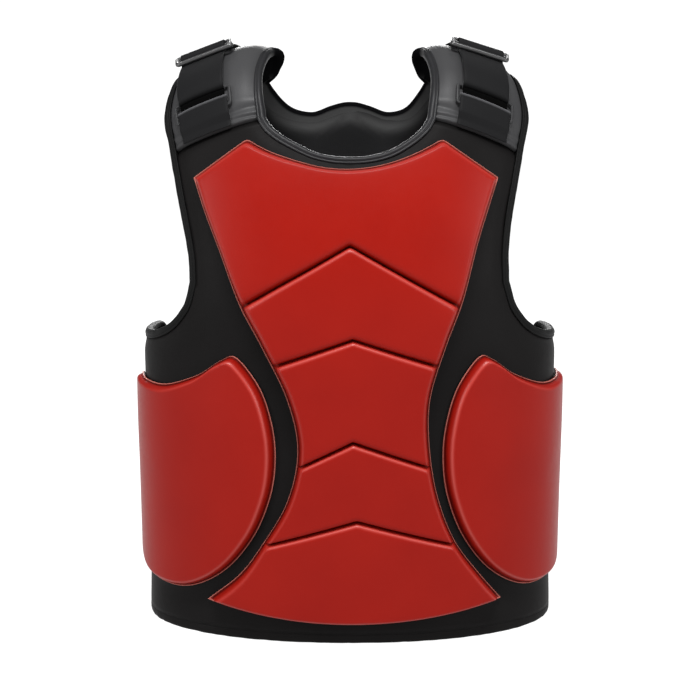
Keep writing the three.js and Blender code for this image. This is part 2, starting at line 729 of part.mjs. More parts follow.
// A ribbon of webbing from its middle line.
function ribbonGeometry(centres, middle, { width, thickness }) {
  const corner = (k, c) => {
    const before = middle[Math.max(k - 1, 0)];
    const after = middle[Math.min(k + 1, middle.length - 1)];
    const direction = new THREE.Vector2().subVectors(after, before).normalize();
    const aside = new THREE.Vector2(-direction.y, direction.x).multiplyScalar(thickness / 2);
    const outer = middle[k].clone().add(aside);
    const inner = middle[k].clone().sub(aside);
    return {
      outer: strapPoint(centres, outer.x, c / RIBBON_STEPS.across, outer.y, width),
      inner: strapPoint(centres, inner.x, c / RIBBON_STEPS.across, inner.y, width),
    };
  };
  return paddedGeometry(gridFaces(middle.length - 1, RIBBON_STEPS.across, corner));
}

const barOffset = (BUCKLE.width - BUCKLE.bar) / 2; // from the buckle's centre to the middle of an outer bar
const flapHead = -barOffset - STRAP_FRONT_LENGTH;
const strapLift = WEBBING_CLEARANCE + STRAP.thickness / 2; // middle of the strap where it lies on the pad
const underBarLift = BUCKLE_LIFT - THREAD_DEPTH;
const at = (distance, lift) => new THREE.Vector2(distance, lift);

// The shoulder's radius under the buckle, from how far its outward direction turns.
const TURN_STEP = 0.03;
const turnAtBuckle = shoulderNormal(BUCKLE.alongShare - TURN_STEP, STRAP_CENTRES.left.buckle).angleTo(
  shoulderNormal(BUCKLE.alongShare + TURN_STEP, STRAP_CENTRES.left.buckle),
);
const shoulderRadius = (2 * TURN_STEP * shoulderLength) / turnAtBuckle;

// A place in the flat buckle's own frame, as distance along the curved shoulder and lift above it.
function besideBuckle(ahead, out) {
  const fromCentre = shoulderRadius + out;
  return at(shoulderRadius * Math.atan2(ahead, fromCentre), Math.hypot(ahead, fromCentre) - shoulderRadius);
}

// The middle line of a strap, from its tucked end forward of the buckle to the back seam.
function strapLine() {
  const { gap, bulge, ease, lean } = STRAP_SLACK;
  const end = shoulderLength * (1 - BUCKLE.alongShare) - STRAP_BACK_MARGIN;
  const tuck = new THREE.LineCurve(at(flapHead - STRAP_TUCK, strapLift), at(flapHead + gap, strapLift));
  const [frontBar, rearBar] = [-1, 1].map((side) => besideBuckle(side * barOffset, underBarLift));
  const bow = new THREE.CubicBezierCurve(
    at(flapHead + gap, strapLift),
    at(flapHead + gap, bulge),
    at(frontBar.x - ease, frontBar.y + lean),
    frontBar,
  );
  const thread = Array.from({ length: RIBBON_STEPS.thread + 1 }, (_, k) => {
    const share = (2 * k) / RIBBON_STEPS.thread - 1;
    return besideBuckle(share * barOffset, BUCKLE_LIFT + THREAD_DEPTH * Math.cos(Math.PI * share));
  });
  const fall = new THREE.CubicBezierCurve(
    rearBar,
    at(rearBar.x + STRAP_FALL / 2, rearBar.y),
    at(rearBar.x + STRAP_FALL / 2, strapLift),
    at(rearBar.x + STRAP_FALL, strapLift),
  );
  const back = new THREE.LineCurve(at(rearBar.x + STRAP_FALL, strapLift), at(end, strapLift));
  return [
    ...tuck.getPoints(RIBBON_STEPS.tuck),
    ...bow.getPoints(RIBBON_STEPS.bow).slice(1),
    ...thread.slice(1),
    ...fall.getPoints(RIBBON_STEPS.fall).slice(1),
    ...back.getPoints(RIBBON_STEPS.back).slice(1),
  ];
}

// The flap lies on the pad at the seam and steps up over the strap's end.
function flapLine() {
  const foot = -BUCKLE.alongShare * shoulderLength + FLAP.seamMargin;
  const strapEnd = flapHead - STRAP_TUCK;
  const low = WEBBING_CLEARANCE + FLAP.thickness / 2;
  const high = low + STRAP.thickness + GAP;
  const lower = new THREE.LineCurve(at(foot, low), at(strapEnd - FLAP.ramp, low));
  const upper = new THREE.LineCurve(at(strapEnd, high), at(flapHead, high));
  return [...lower.getPoints(RIBBON_STEPS.flap), ...upper.getPoints(RIBBON_STEPS.flap)];
}

// A rounded rectangle, as a shape or as a hole, with its middle on the Y axis.
function roundedRectangle(Kind, length, width, radius, middle = 0) {
  const x = length / 2 - radius;
  const [low, high] = [middle - width / 2 + radius, middle + width / 2 - radius];
  return new Kind()
    .moveTo(-x, low - radius)
    .lineTo(x, low - radius)
    .absarc(x, low, radius, -Math.PI / 2, 0)
    .absarc(x, high, radius, 0, Math.PI / 2)
    .absarc(-x, high, radius, Math.PI / 2, Math.PI)
    .absarc(-x, low, radius, Math.PI, 1.5 * Math.PI);
}

function buckleGeometry() {
  const frame = roundedRectangle(THREE.Shape, BUCKLE.length, BUCKLE.width, BUCKLE.cornerRadius);
  const slotLength = BUCKLE.length - 2 * BUCKLE.bar;
  const slotWidth = (BUCKLE.width - 2 * BUCKLE.bar - BUCKLE.middleBar) / 2;
  for (const side of [-1, 1]) {
    const place = (side * (slotWidth + BUCKLE.middleBar)) / 2;
    frame.holes.push(roundedRectangle(THREE.Path, slotLength, slotWidth, BUCKLE.slotRadius, place));
  }
  const geometry = new THREE.ExtrudeGeometry(frame, {
    depth: BUCKLE.bar - 2 * BUCKLE.bevel,
    bevelThickness: BUCKLE.bevel,
    bevelSize: BUCKLE.bevel,
    bevelOffset: -BUCKLE.bevel,
    bevelSegments: 2,
    curveSegments: 2,
  });
  return geometry.translate(0, 0, -BUCKLE.bar / 2 + BUCKLE.bevel);
}

// The buckle's place: its long bars lie across the strap, and its face lies along the shoulder.
function placeBuckle(mesh, centres) {
  const out = shoulderNormal(BUCKLE.alongShare, centres.buckle);
  const across = acrossStrap(BUCKLE.alongShare, centres.buckle);
  const back = out.clone().cross(across).normalize();
  mesh.quaternion.setFromRotationMatrix(new THREE.Matrix4().makeBasis(back.clone().cross(out), back, out));
  mesh.position.copy(strapPoint(centres, 0, 0.5, BUCKLE_LIFT));
}

// Assembly

const vest = new THREE.Group();

function addPiece(name, geometry, material, group = vest) {
  const mesh = new THREE.Mesh(geometry, material);
  mesh.name = name;
  group.add(mesh);
  return mesh;
}

// The wearer's left is on +X, and the right side is its mirror image.
const leftSide = new THREE.Group();
const rightSide = new THREE.Group();
rightSide.scale.x = -1;
vest.add(leftSide, rightSide);

addPiece("front_panel", panelGeometry(FRONT_PANEL), BLACK_LEATHER);
addPiece("back_panel", panelGeometry(BACK_PANEL), BLACK_LEATHER);
addPiece("chest_pad", chestPadGeometry(), RED_LEATHER);
addPiece("neck_binding", neckBindingGeometry(), BLACK_TAPE);

for (const [group, wearerSide] of [[leftSide, "left"], [rightSide, "right"]]) {
  addPiece(`rib_pad_${wearerSide}`, ribPadGeometry(RIB_SHIFT[wearerSide]), RED_LEATHER, group);
  addPiece(`shoulder_pad_${wearerSide}`, shoulderPadGeometry(), GREY_LEATHER, group);
  addPiece(`arm_binding_${wearerSide}`, armBindingGeometry(), BLACK_TAPE, group);
  addPiece(`hem_binding_${wearerSide}`, hemBindingGeometry(), BLACK_TAPE, group);
  const centres = STRAP_CENTRES[wearerSide];
  addPiece(`strap_${wearerSide}`, ribbonGeometry(centres, strapLine(), STRAP), BLACK_WEBBING, group);
  addPiece(`strap_flap_${wearerSide}`, ribbonGeometry(centres, flapLine(), FLAP), BLACK_WEBBING, group);
  placeBuckle(addPiece(`buckle_${wearerSide}`, buckleGeometry(), BLACK_METAL, group), centres);
}

// The origin lies under the middle of the whole vest.
const reach = new THREE.Box3().setFromObject(vest);
vest.position.y = -(reach.min.y + reach.max.y) / 2;

const chestGuard = new THREE.Group();
chestGuard.add(vest);

export default chestGuard;
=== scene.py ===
# %% [markdown]
# A padded chest guard, dressed.
# The solids of the guard are already modelled to size, and they are loaded here as a fixed frame. Every
# piece below is laid on the same pattern in the same frame, so nothing has to be fitted by eye. The
# guard has no joints, so all pieces ride on one body.

# %% Load the frame
import math

import bmesh
import bpy
import numpy as np
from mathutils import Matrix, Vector, noise


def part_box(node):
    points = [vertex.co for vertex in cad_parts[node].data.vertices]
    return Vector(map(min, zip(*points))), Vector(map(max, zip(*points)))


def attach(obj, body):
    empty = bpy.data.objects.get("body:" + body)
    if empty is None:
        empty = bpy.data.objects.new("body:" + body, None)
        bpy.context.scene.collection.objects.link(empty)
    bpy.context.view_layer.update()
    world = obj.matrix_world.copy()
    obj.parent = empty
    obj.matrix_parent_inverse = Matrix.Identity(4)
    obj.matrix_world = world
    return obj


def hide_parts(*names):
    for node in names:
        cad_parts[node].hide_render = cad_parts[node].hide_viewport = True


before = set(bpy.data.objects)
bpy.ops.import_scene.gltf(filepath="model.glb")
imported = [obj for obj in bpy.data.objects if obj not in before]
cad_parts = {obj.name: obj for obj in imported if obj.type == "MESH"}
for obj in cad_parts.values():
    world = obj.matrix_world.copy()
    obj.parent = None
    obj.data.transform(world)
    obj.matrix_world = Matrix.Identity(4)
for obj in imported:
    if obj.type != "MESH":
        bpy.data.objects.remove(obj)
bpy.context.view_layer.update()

MM = 0.001
TINY = 1e-9  # keeps a division or a comparison safe
BODY_NAME = "root"

# %% [markdown]
# The camera comes first, because every look at the work goes through it. Its focal length in pixels and
# its place were found by laying the solids' outlines over the photograph. Blender wants the focal
# length in millimetres of a sensor, so it is scaled by the sensor's width.

# %% Camera
IMAGE_PIXELS = 700
FOCAL_PIXELS = 1520
SENSOR_WIDTH = 36
CAMERA_PLACE = (0, -1.5838, 0.548)  # m
CAMERA_PITCH = 9.38  # degrees below the horizon

camera_lens = bpy.data.cameras.new("camera")
camera_lens.sensor_width = SENSOR_WIDTH
camera_lens.lens = FOCAL_PIXELS / IMAGE_PIXELS * SENSOR_WIDTH
camera = bpy.data.objects.new("camera", camera_lens)
camera.location = CAMERA_PLACE
camera.rotation_euler = (math.radians(90 - CAMERA_PITCH), 0, 0)
bpy.context.scene.collection.objects.link(camera)
bpy.context.scene.camera = camera
print("lens in mm:", round(camera_lens.lens, 2))

# %% [markdown]
# The guard is cut from flat foam and leather and sewn round a form, so its pattern is kept as short
# tables, in millimetres. A curve through a table takes the mean slope of its two neighbours at each
# row. It could be a Bezier curve object, but a function can be asked for any point, and every piece
# needs that.

# %% Curves through tables
def smooth(at, knots, values):
    """The values of a table's column at other places between its knots."""
    at, knots, values = (np.asarray(x, float) for x in (at, knots, values))
    secants = np.diff(values) / np.diff(knots)
    slopes = np.concatenate([secants[:1], (secants[:-1] + secants[1:]) / 2, secants[-1:]])
    at = np.clip(at, knots[0], knots[-1])
    row = np.clip(np.searchsorted(knots, at, side="right") - 1, 0, len(knots) - 2)
    step = knots[row + 1] - knots[row]
    t = (at - knots[row]) / step
    start = (1 + 2 * t) * (1 - t) ** 2 * values[row] + t * (1 - t) ** 2 * step * slopes[row]
    end = t**2 * (3 - 2 * t) * values[row + 1] - t**2 * (1 - t) * step * slopes[row + 1]
    return start + end


def smooth_path(rows, share):
    """Points of a smooth curve through rows, at shares from the first row to the last."""
    rows = np.asarray(rows, float)
    at = np.asarray(share, float) * (len(rows) - 1)
    return np.stack([smooth(at, np.arange(len(rows)), column) for column in rows.T], axis=-1)


def lerp(a, b, share):
    return a + (b - a) * share


def ease(share, low, high):
    """0 below low, 1 above high, and a smooth step between them."""
    t = np.clip((share - low) / (high - low), 0, 1)
    return t * t * (3 - 2 * t)


def unit(vectors):
    return vectors / np.linalg.norm(vectors, axis=-1, keepdims=True)


print("a curve halfway between two rows:", smooth([0.5], [0, 1], [0, 1])[0])

# %% [markdown]
# The outer form of the vest is a rounded oblong at each height. Squareness 2 is an ellipse, and more is
# squarer. A point is named by its angle round from the front and by its height, and a lift moves it
# along the normal, as leather, foam and lining lie over each other on the real guard.

# %% The outer form
WALL = 12  # mm of leather, foam and lining together
BODY = {
    "height": [0, 130, 250, 350, 440, 560],
    "half_width": [217, 217, 218, 216, 208, 192],
    "front_depth": [120, 127, 132, 132, 118, 76],
    "back_depth": [112, 113, 117, 121, 118, 98],
    "squareness": [2.1, 2.3, 2.4, 2.4, 2.4, 2.4],
}
HEM_PROUD = 1  # the hem's tape stands this far out of the form
FORM_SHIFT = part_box("hem_binding_left")[0].y / MM + BODY["front_depth"][0] + HEM_PROUD


def body_size(name, height):
    return smooth(height, BODY["height"], BODY[name])


def body_surface(angle, height):
    power = 2 / body_size("squareness", height)
    depth = np.where(np.cos(angle) > 0, body_size("front_depth", height), body_size("back_depth", height))
    x = body_size("half_width", height) * np.sign(np.sin(angle)) * np.abs(np.sin(angle)) ** power
    y = -depth * np.sign(np.cos(angle)) * np.abs(np.cos(angle)) ** power
    return np.stack([x, y, height + 0 * x], axis=-1)


def body_normal(angle, height):
    turn, rise = 1e-3, 1
    across = body_surface(angle + turn, height) - body_surface(angle - turn, height)
    up = body_surface(angle, height + rise) - body_surface(angle, height - rise)
    return unit(np.cross(across, up))


def body_point(angle, height, lift):
    return body_surface(angle, height) + body_normal(angle, height) * np.expand_dims(lift, -1)


def angle_at(x, height):
    """The angle, from the middle of the front or the back, at which the form is x wide of the middle."""
    wide = np.minimum(1, np.abs(x) / body_size("half_width", np.asarray(height)))
    return np.sign(x) * np.arcsin(wide ** (body_size("squareness", np.asarray(height)) / 2))


print("the form is set", round(FORM_SHIFT, 2), "mm back from the middle of the box")

# %% [markdown]
# Every piece starts as a flat grid, which is then laid on the pattern: a place function turns shares
# across and up the grid into points. That keeps the faces four-cornered and even, as a subdivision or a
# cloth needs. The numbers that the finish needs later, such as the distance from an edge, go into the
# mesh as named attributes. The pattern is the same on both sides, but the guard in the photograph is
# pulled out a little at the wearer's right shoulder, so each finished piece is eased outwards there.

# %% Laying grids on the pattern
PULL = {"out": 7, "from_middle": (42, 84), "from_floor": (345, 450)}  # mm


def pull_out(mesh):
    """Eases a piece outwards at the wearer's right shoulder."""
    points = np.empty(len(mesh.vertices) * 3)
    mesh.vertices.foreach_get("co", points)
    points = points.reshape(-1, 3)
    share = ease(-points[:, 0] / MM, *PULL["from_middle"]) * ease(points[:, 2] / MM, *PULL["from_floor"])
    points[:, 0] -= PULL["out"] * MM * share
    mesh.vertices.foreach_set("co", points.ravel())


def lay(bm, columns, rows, place):
    """Adds a grid to a bmesh.

    For shares across and up the grid, place gives the points in mm and any attributes.
    """
    uv = bm.loops.layers.uv.verify()
    half = 0.5
    grid = bmesh.ops.create_grid(bm, x_segments=columns, y_segments=rows, size=half, calc_uvs=True)
    shares = np.array([vert.co[:2] for vert in grid["verts"]]) + half
    points, attributes = place(shares[:, 0], shares[:, 1])
    floats = bm.verts.layers.float
    layers = {name: floats.get(name) or floats.new(name) for name in attributes}
    bm.verts.ensure_lookup_table()
    for number, vert in enumerate(bm.verts[-len(shares):]):
        vert.co = (points[number] + (0, FORM_SHIFT, 0)) * MM
        for name, layer in layers.items():
            vert[layer] = attributes[name][number]
    return uv


def sew(bm, reach=1e-5):
    """Joins the grids of a bmesh where their edges meet within reach, in metres."""
    bmesh.ops.remove_doubles(bm, verts=bm.verts, dist=reach)


def attribute_of(verts, layer):
    return np.array([vert[layer] for vert in verts])


def thicken(bm, place):
    """Closes a sheet into a solid with a second sheet, whose points come from place by angle and height."""
    angle = bm.verts.layers.float["angle"]
    height = bm.verts.layers.float["height"]
    made = bmesh.ops.extrude_face_region(bm, geom=bm.faces[:], use_keep_orig=True)["geom"]
    verts = [item for item in made if isinstance(item, bmesh.types.BMVert)]
    points = place(attribute_of(verts, angle), attribute_of(verts, height), verts)
    for vert, point in zip(verts, points):
        vert.co = (point + (0, FORM_SHIFT, 0)) * MM
    bmesh.ops.recalc_face_normals(bm, faces=bm.faces)
    return verts


def piece_from(bm, name, material, slot, *nodes):
    """Makes the piece that stands for the named solids, smooth-shaded and riding on the guard."""
    mesh = bpy.data.meshes.new(name)
    bm.to_mesh(mesh)
    bm.free()
    pull_out(mesh)
    mesh.materials.append(material)
    mesh.shade_smooth()
    piece = bpy.data.objects.new(name, mesh)
    bpy.context.scene.collection.objects.link(piece)
    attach(piece, BODY_NAME)
    if nodes:
        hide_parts(*nodes)
    print(name, "faces:", len(mesh.polygons))
    return piece


def subdivide(piece):
    finer = piece.modifiers.new("finer", "SUBSURF")
    finer.levels = 1
    finer.render_levels = 1


print("the right shoulder is pulled out by", PULL["out"], "mm")

# %% [markdown]
# Materials. Each is built from a Principled shader with colour, roughness and bump from a few textures.
# Colours are written as in a paint program, as sRGB hex, and turned to linear light by one function.

# %% Helpers for materials
def linear(colour):
    """An sRGB hex colour as linear red, green, blue and alpha."""
    parts = [int(colour[k : k + 2], 16) / 255 for k in (1, 3, 5)]
    return [x / 12.92 if x <= 0.04045 else ((x + 0.055) / 1.055) ** 2.4 for x in parts] + [1]


def add(tree, kind, links=None, **settings):
    """Adds a node, sets its properties, and gives its inputs values or links."""
    node = tree.nodes.new(kind)
    for name, value in settings.items():
        setattr(node, name, value)
    for name, value in (links or {}).items():
        if isinstance(value, bpy.types.NodeSocket):
            tree.links.new(value, node.inputs[name])
        else:
            node.inputs[name].default_value = value
    return node


def new_material(name):
    """A material with a Principled shader. Returns the material, its tree and the shader."""
    material = bpy.data.materials.new(name)
    material.use_nodes = True
    return material, material.node_tree, material.node_tree.nodes["Principled BSDF"]


print("middle grey in linear light:", round(linear("#808080")[0], 3))

# %% [markdown]
# Coated leather is a fabric with a thin coloured skin, pressed with a fine grain. The skin is not
# metallic, its IOR is near 1.4, and it is satin. The real grain is under a millimetre, too fine to show
# at this distance, so it is drawn about twice as coarse. Attributes of the mesh mark where the colour is
# painted. Down in a seam or a channel the leather is painted darker, as painted shade (seam), and along a
# sewn edge a thin pale line is painted, as a painted highlight on its lip (rim). Inside, the back's
# lining is a little greyer, and its middle is also painted lighter and shinier, as painted light falling
# in at the neck, with a brighter painted highlight band under the neckline. Its sides and the insides of
# the shoulders are painted near black and matt, as painted shade. Over the edges of the foam and below
# each channel the leather is painted paler and shinier, as painted highlights.

# %% Coated leather
GRAIN = {"spacing": 1.6, "strength": 0.6}  # mm between the pebbles
CREASE = 6.4  # mm between the fine creases
MOTTLE = 70  # mm between the soft changes of colour
GLOSS_SPREAD = 0.06  # how far the roughness varies
SEAM_SHADE = 0.3  # how much of its colour the leather keeps under the painted shade down in a seam
# Painted light and shade by attribute: painted light in the lining's middle, painted shade at its sides and
# inside the shoulders, a painted highlight band under the neckline, and painted highlights over the foam's
# edges.
MARKED = {
    "attribute": ["lining", "hollow", "rubbed", "drawn"],
    "colour": ["#1c1c1d", "#0a0a0b", "#3c3c3c", "#a03a33"],
    "specular": [0.2, 0, 0.3, 0.4],
}


def coated_leather(name, colour, deep, rim_highlight, roughness, specular, grain_depth):
    material, tree, shader = new_material(name)
    place = add(tree, "ShaderNodeTexCoord").outputs["Object"]
    mottle = add(tree, "ShaderNodeTexNoise", {"Vector": place, "Scale": 1 / (MOTTLE * MM), "Detail": 2})
    pebbles = add(tree, "ShaderNodeTexVoronoi", {"Vector": place, "Scale": 1 / (GRAIN["spacing"] * MM)})
    creases = add(tree, "ShaderNodeTexNoise", {"Vector": place, "Scale": 1 / (CREASE * MM), "Detail": 4})
    colours = {"Factor": mottle.outputs["Fac"], "A": linear(deep), "B": linear(colour)}
    skin = add(tree, "ShaderNodeMix", colours, data_type="RGBA").outputs["Result"]
    shine = specular
    # Down in a seam the skin is painted darker, as painted shade.
    seam_shade_colour = [SEAM_SHADE * share for share in linear(deep)[:3]] + [1]
    marks = [("seam", seam_shade_colour, None), ("rim", linear(rim_highlight), None)]
    marks += [(mark, linear(there), gloss_there) for mark, there, gloss_there in zip(*MARKED.values())]
    for attribute, colour_there, shine_there in marks:
        share = add(tree, "ShaderNodeAttribute", attribute_name=attribute).outputs["Fac"]
        colours = {"Factor": share, "A": skin, "B": colour_there}
        skin = add(tree, "ShaderNodeMix", colours, data_type="RGBA").outputs["Result"]
        if shine_there is not None:
            limits = {"Value": share, "To Min": shine, "To Max": shine_there}
            shine = add(tree, "ShaderNodeMapRange", limits).outputs["Result"]
    limits = {"To Min": roughness - GLOSS_SPREAD, "To Max": roughness + GLOSS_SPREAD}
    gloss = add(tree, "ShaderNodeMapRange", {"Value": creases.outputs["Fac"], **limits})
    heights = {0: pebbles.outputs["Distance"], 1: creases.outputs["Fac"]}
    height = add(tree, "ShaderNodeMath", heights, operation="ADD").outputs["Value"]
    relief = {"Height": height, "Distance": grain_depth * MM, "Strength": GRAIN["strength"]}
    tree.links.new(skin, shader.inputs["Base Color"])
    tree.links.new(gloss.outputs["Result"], shader.inputs["Roughness"])
    tree.links.new(shine, shader.inputs["Specular IOR Level"])
    tree.links.new(add(tree, "ShaderNodeBump", relief).outputs["Normal"], shader.inputs["Normal"])
    return material


# The neck's and the arms' tape are one tape in two copies: the neck's is lighter, as painted light, and the
# arms' darker and duller, as painted shade. The shoulder pads' leather is the panels' black leather, painted
# grey as painted light from above.
LEATHERS = {
    "name": [
        "red coated leather",
        "black coated leather",
        "black coated leather, painted lighter",
        "folded leather tape",
        "folded leather tape in painted shade",
    ],
    "colour": ["#7c1108", "#151414", "#333334", "#1e1e20", "#131313"],
    "deep": ["#710c06", "#0e0d0d", "#282829", "#0f0f10", "#0c0c0c"],
    "rim_highlight": ["#8f5148", "#191919", "#454546", "#28282a", "#1d1d1e"],
    "roughness": [0.38, 0.50, 0.44, 0.44, 0.5],
    "specular": [0.08, 0.03, 0.13, 0.13, 0.04],
    "grain_depth": [0.05, 0.10, 0.08, 0.08, 0.08],  # mm
}
leathers = [coated_leather(*row) for row in zip(*LEATHERS.values())]
red_leather, black_leather, shoulder_leather, edge_tape, shaded_tape = leathers
print("leathers:", len(leathers))

# %% [markdown]
# Webbing is woven from thick nylon yarn: ribs run across the strap, and the warp shows as fine lines
# along it. The yarn is about a millimetre, so the ribs are drawn a little coarser to show. The pattern
# follows the strap round its folds, so it reads the UV map, which is laid out in metres. Nylon yarn has
# a soft sheen. Where a strap dips under its flap it is painted black and loses its sheen, as painted
# shade (shade), and the flap's turned edge is painted paler, as a painted highlight (rim). The buckles
# and rings are steel with baked black enamel, a hard skin that shows lights as clear streaks. On the
# rings it is worn greyer and duller.

# %% Webbing and enamel
WAVE_PERIOD = math.pi / 10  # m, the length of one wave of the Wave texture at scale 1
YARN = {"weft": 2.0, "warp": 1.2, "uneven": 0.4, "relief": 0.3}  # mm between the ribs, and their height
YARN_GLOSS = {"Specular IOR Level": 0.06, "Sheen Weight": 0.05}
YARN_ROUGHNESS = {"Roughness": 0.6, "Sheen Roughness": 0.4}
# Painted shade where a strap dips under its flap, and a painted highlight on the flap's turned edge.
YARN_MARKS = {"shade": "#050505", "rim": "#464648"}
YARN_STRENGTH = 0.7
SPOTS = {"relief": 0.1, "strength": 0.3}  # mm


def woven_webbing(name, colour, deep):
    material, tree, shader = new_material(name)
    lines = {}
    uv = add(tree, "ShaderNodeUVMap", uv_map="UVMap").outputs["UV"]
    for direction, spacing in (("X", YARN["weft"]), ("Y", YARN["warp"])):
        wave = {"Vector": uv, "Distortion": YARN["uneven"], "Detail": 1}
        wave["Scale"] = WAVE_PERIOD / (spacing * MM)
        lines[direction] = add(tree, "ShaderNodeTexWave", wave, bands_direction=direction).outputs["Fac"]
    ribs = {0: lines["X"], 1: lines["Y"]}
    weave = add(tree, "ShaderNodeMath", ribs, operation="MULTIPLY").outputs["Value"]
    colours = {"Factor": weave, "A": linear(deep), "B": linear(colour)}
    yarn = add(tree, "ShaderNodeMix", colours, data_type="RGBA").outputs["Result"]
    share = {}
    for mark, colour_there in YARN_MARKS.items():
        share[mark] = add(tree, "ShaderNodeAttribute", attribute_name=mark).outputs["Fac"]
        colours = {"Factor": share[mark], "A": yarn, "B": linear(colour_there)}
        yarn = add(tree, "ShaderNodeMix", colours, data_type="RGBA").outputs["Result"]
    relief = {"Height": weave, "Distance": YARN["relief"] * MM, "Strength": YARN_STRENGTH}
    tree.links.new(yarn, shader.inputs["Base Color"])
    tree.links.new(add(tree, "ShaderNodeBump", relief).outputs["Normal"], shader.inputs["Normal"])
    for socket, value in YARN_ROUGHNESS.items():
        shader.inputs[socket].default_value = value
    # In the painted shade the yarn's gloss and sheen are taken away too.
    for socket, strength in YARN_GLOSS.items():
        worn = add(tree, "ShaderNodeMapRange", {"Value": share["shade"], "To Min": strength, "To Max": 0})
        tree.links.new(worn.outputs["Result"], shader.inputs[socket])
    return material


def plain_material(name, colour, deep, roughness, specular, spot):
    """A finish with soft spots of a deeper colour, spot mm apart."""
    material, tree, shader = new_material(name)
    place = add(tree, "ShaderNodeTexCoord").outputs["Object"]
    noisy = {"Vector": place, "Scale": 1 / (spot * MM), "Detail": 3}
    spots = add(tree, "ShaderNodeTexNoise", noisy).outputs["Fac"]
    colours = {"Factor": spots, "A": linear(deep), "B": linear(colour)}
    skin = add(tree, "ShaderNodeMix", colours, data_type="RGBA").outputs["Result"]
    relief = {"Height": spots, "Distance": SPOTS["relief"] * MM, "Strength": SPOTS["strength"]}
    tree.links.new(skin, shader.inputs["Base Color"])
    tree.links.new(add(tree, "ShaderNodeBump", relief).outputs["Normal"], shader.inputs["Normal"])
    shader.inputs["Roughness"].default_value = roughness
    shader.inputs["Specular IOR Level"].default_value = specular
    return material


webbing = woven_webbing("woven nylon webbing", "#1c1c1d", "#0e0e0f")
ENAMEL = {"roughness": 0.38, "specular": 0.9, "spot": 3}
WORN_ENAMEL = {"roughness": 0.45, "specular": 0.12, "spot": 3}
enamel = plain_material("black enamel on steel", "#161617", "#101011", **ENAMEL)
ring_steel = plain_material("worn enamel on steel", "#2c2c2d", "#1c1c1d", **WORN_ENAMEL)
print("webbing and enamels:", len([webbing, enamel, ring_steel]))

# %% [markdown]
# The panels are foam sheets between leather and lining. Each half is two grids: a band round the waist,
# and a yoke that runs up beside the neck. Both lie on the form, so the grids meet without a step. They
# could be cut from one big sheet, but then the edges would be jagged, and here the grid lines follow
# the cut.

# %% Panel pattern
HEM_TOP = 9.3  # mm, where the panels start above the hem's tape
SIDE_SEAM = 104  # degrees round from the front
SIDE_GAP = 0.2  # degrees between the front's edge and the back's at the side seam
FRONT = {
    "facing": "front",
    "join": 368,  # where the band meets the yoke
    "neck": {"x": [0, 36, 60, 75, 82], "height": [489, 494, 506.5, 519, 530]},
    "arm": {"x": [154, 153, 157, 164, 170], "height": [368, 398, 434, 468, 496]},
    "underarm": {"angle": [44.5, 48, 53, 62, 80, SIDE_SEAM], "height": [346, 332, 320, 310, 304, 303]},
}
BACK = {
    "facing": "back",
    "join": 360,
    "neck": {"x": [0, 20, 42, 66, 88], "height": [541, 537, 530, 537, 565]},
    "arm": {"x": [132, 126, 128, 137, 146], "height": [360, 400, 450, 500, 534]},
    "underarm": {"angle": [38, 44, 54, 65, 180 - SIDE_SEAM - SIDE_GAP], "height": [333, 307, 284, 284, 303]},
}
UNDERARM_EASE = 1.3  # more than 1 sets the columns closer together beside the yoke
BELOW_NECK = 0.4  # share of the yoke below the neck opening


def by_width(edge):
    return np.column_stack([angle_at(edge["x"], edge["height"]), edge["height"]])


def neck_edge(panel, share):
    rows = by_width(panel["neck"])
    mirrored = np.vstack([rows[1] * (-1, 1), rows])
    return smooth_path(mirrored, (1 + share * (len(rows) - 1)) / len(rows))


def arm_edge(panel, share):
    return smooth_path(by_width(panel["arm"]), share)


def underarm_edge(panel, share):
    edge = panel["underarm"]
    rows = np.column_stack([np.radians(edge["angle"]), edge["height"]])
    rows = np.vstack([by_width(panel["arm"])[0], rows])
    angle = lerp(rows[0, 0], rows[-1, 0], share**UNDERARM_EASE)
    return np.stack([angle, smooth(angle, rows[:, 0], rows[:, 1])], axis=-1)


def body_angle(panel, side, pattern_angle):
    """The angle round the form of a pattern angle on one side of a panel: side is 1 on +X and -1 on -X."""
    return side * (pattern_angle if panel["facing"] == "front" else math.pi - pattern_angle)


print("necklines above the floor in mm:", [panel["neck"]["height"][0] for panel in (FRONT, BACK)])

# %% [markdown]
# A sewn seam pulls the leather down on both sides, so a panel sinks towards its shoulder seams and side
# seams. The bindings pinch the foam, so the wall is thinner along them. Elsewhere the leather lies a
# little unevenly over the foam, by less than a millimetre.

# %% Panels
COLUMNS = {"to_join": 26, "to_side": 48}
ROWS = {"band": 64, "yoke": 56}
SEAM_DEPTH = 3.0  # mm
SEAM_REACH = 5.0  # mm
SIDE_CURVE = 0.6  # radius of the form's sides, as a share of its half width
UNEVEN = {"depth": 0.9, "size": 75}  # mm
PINCH = {"depth": 2.4, "reach": 9}  # mm
EDGE_SAMPLES = 240
SEWN_GAP = 1e-4  # m, within which the grids of one piece are joined
HIGHLIGHT_BAND = {"from_edge": 11, "width": 6, "tape": 0.85}  # mm, and its share on the neck's tape: a painted highlight band under the neckline
LINING_REACH = (35, 110)  # mm from the middle: the lining passes from its greyer middle with painted light to painted shade


def uneven(points):
    """Soft dents of a leather sheet, in mm, at points in mm."""
    return np.array([noise.noise(Vector(point) / UNEVEN["size"]) for point in points]) * UNEVEN["depth"]


def seam_dip(distance):
    return SEAM_DEPTH * np.exp(-((distance / SEAM_REACH) ** 2))


def pinch(distance):
    """How far a binding presses each face of the wall in, in mm, at a distance from the edge."""
    return PINCH["depth"] * np.exp(-((distance / PINCH["reach"]) ** 2))


def bound_edge(panel, side):
    """Points all along the neck's and the arm's edge of one side of a panel."""
    share = np.linspace(0, 1, EDGE_SAMPLES)
    pattern = np.vstack([edge(panel, share) for edge in (neck_edge, arm_edge, underarm_edge)])
    return body_surface(body_angle(panel, side, pattern[:, 0]), pattern[:, 1])


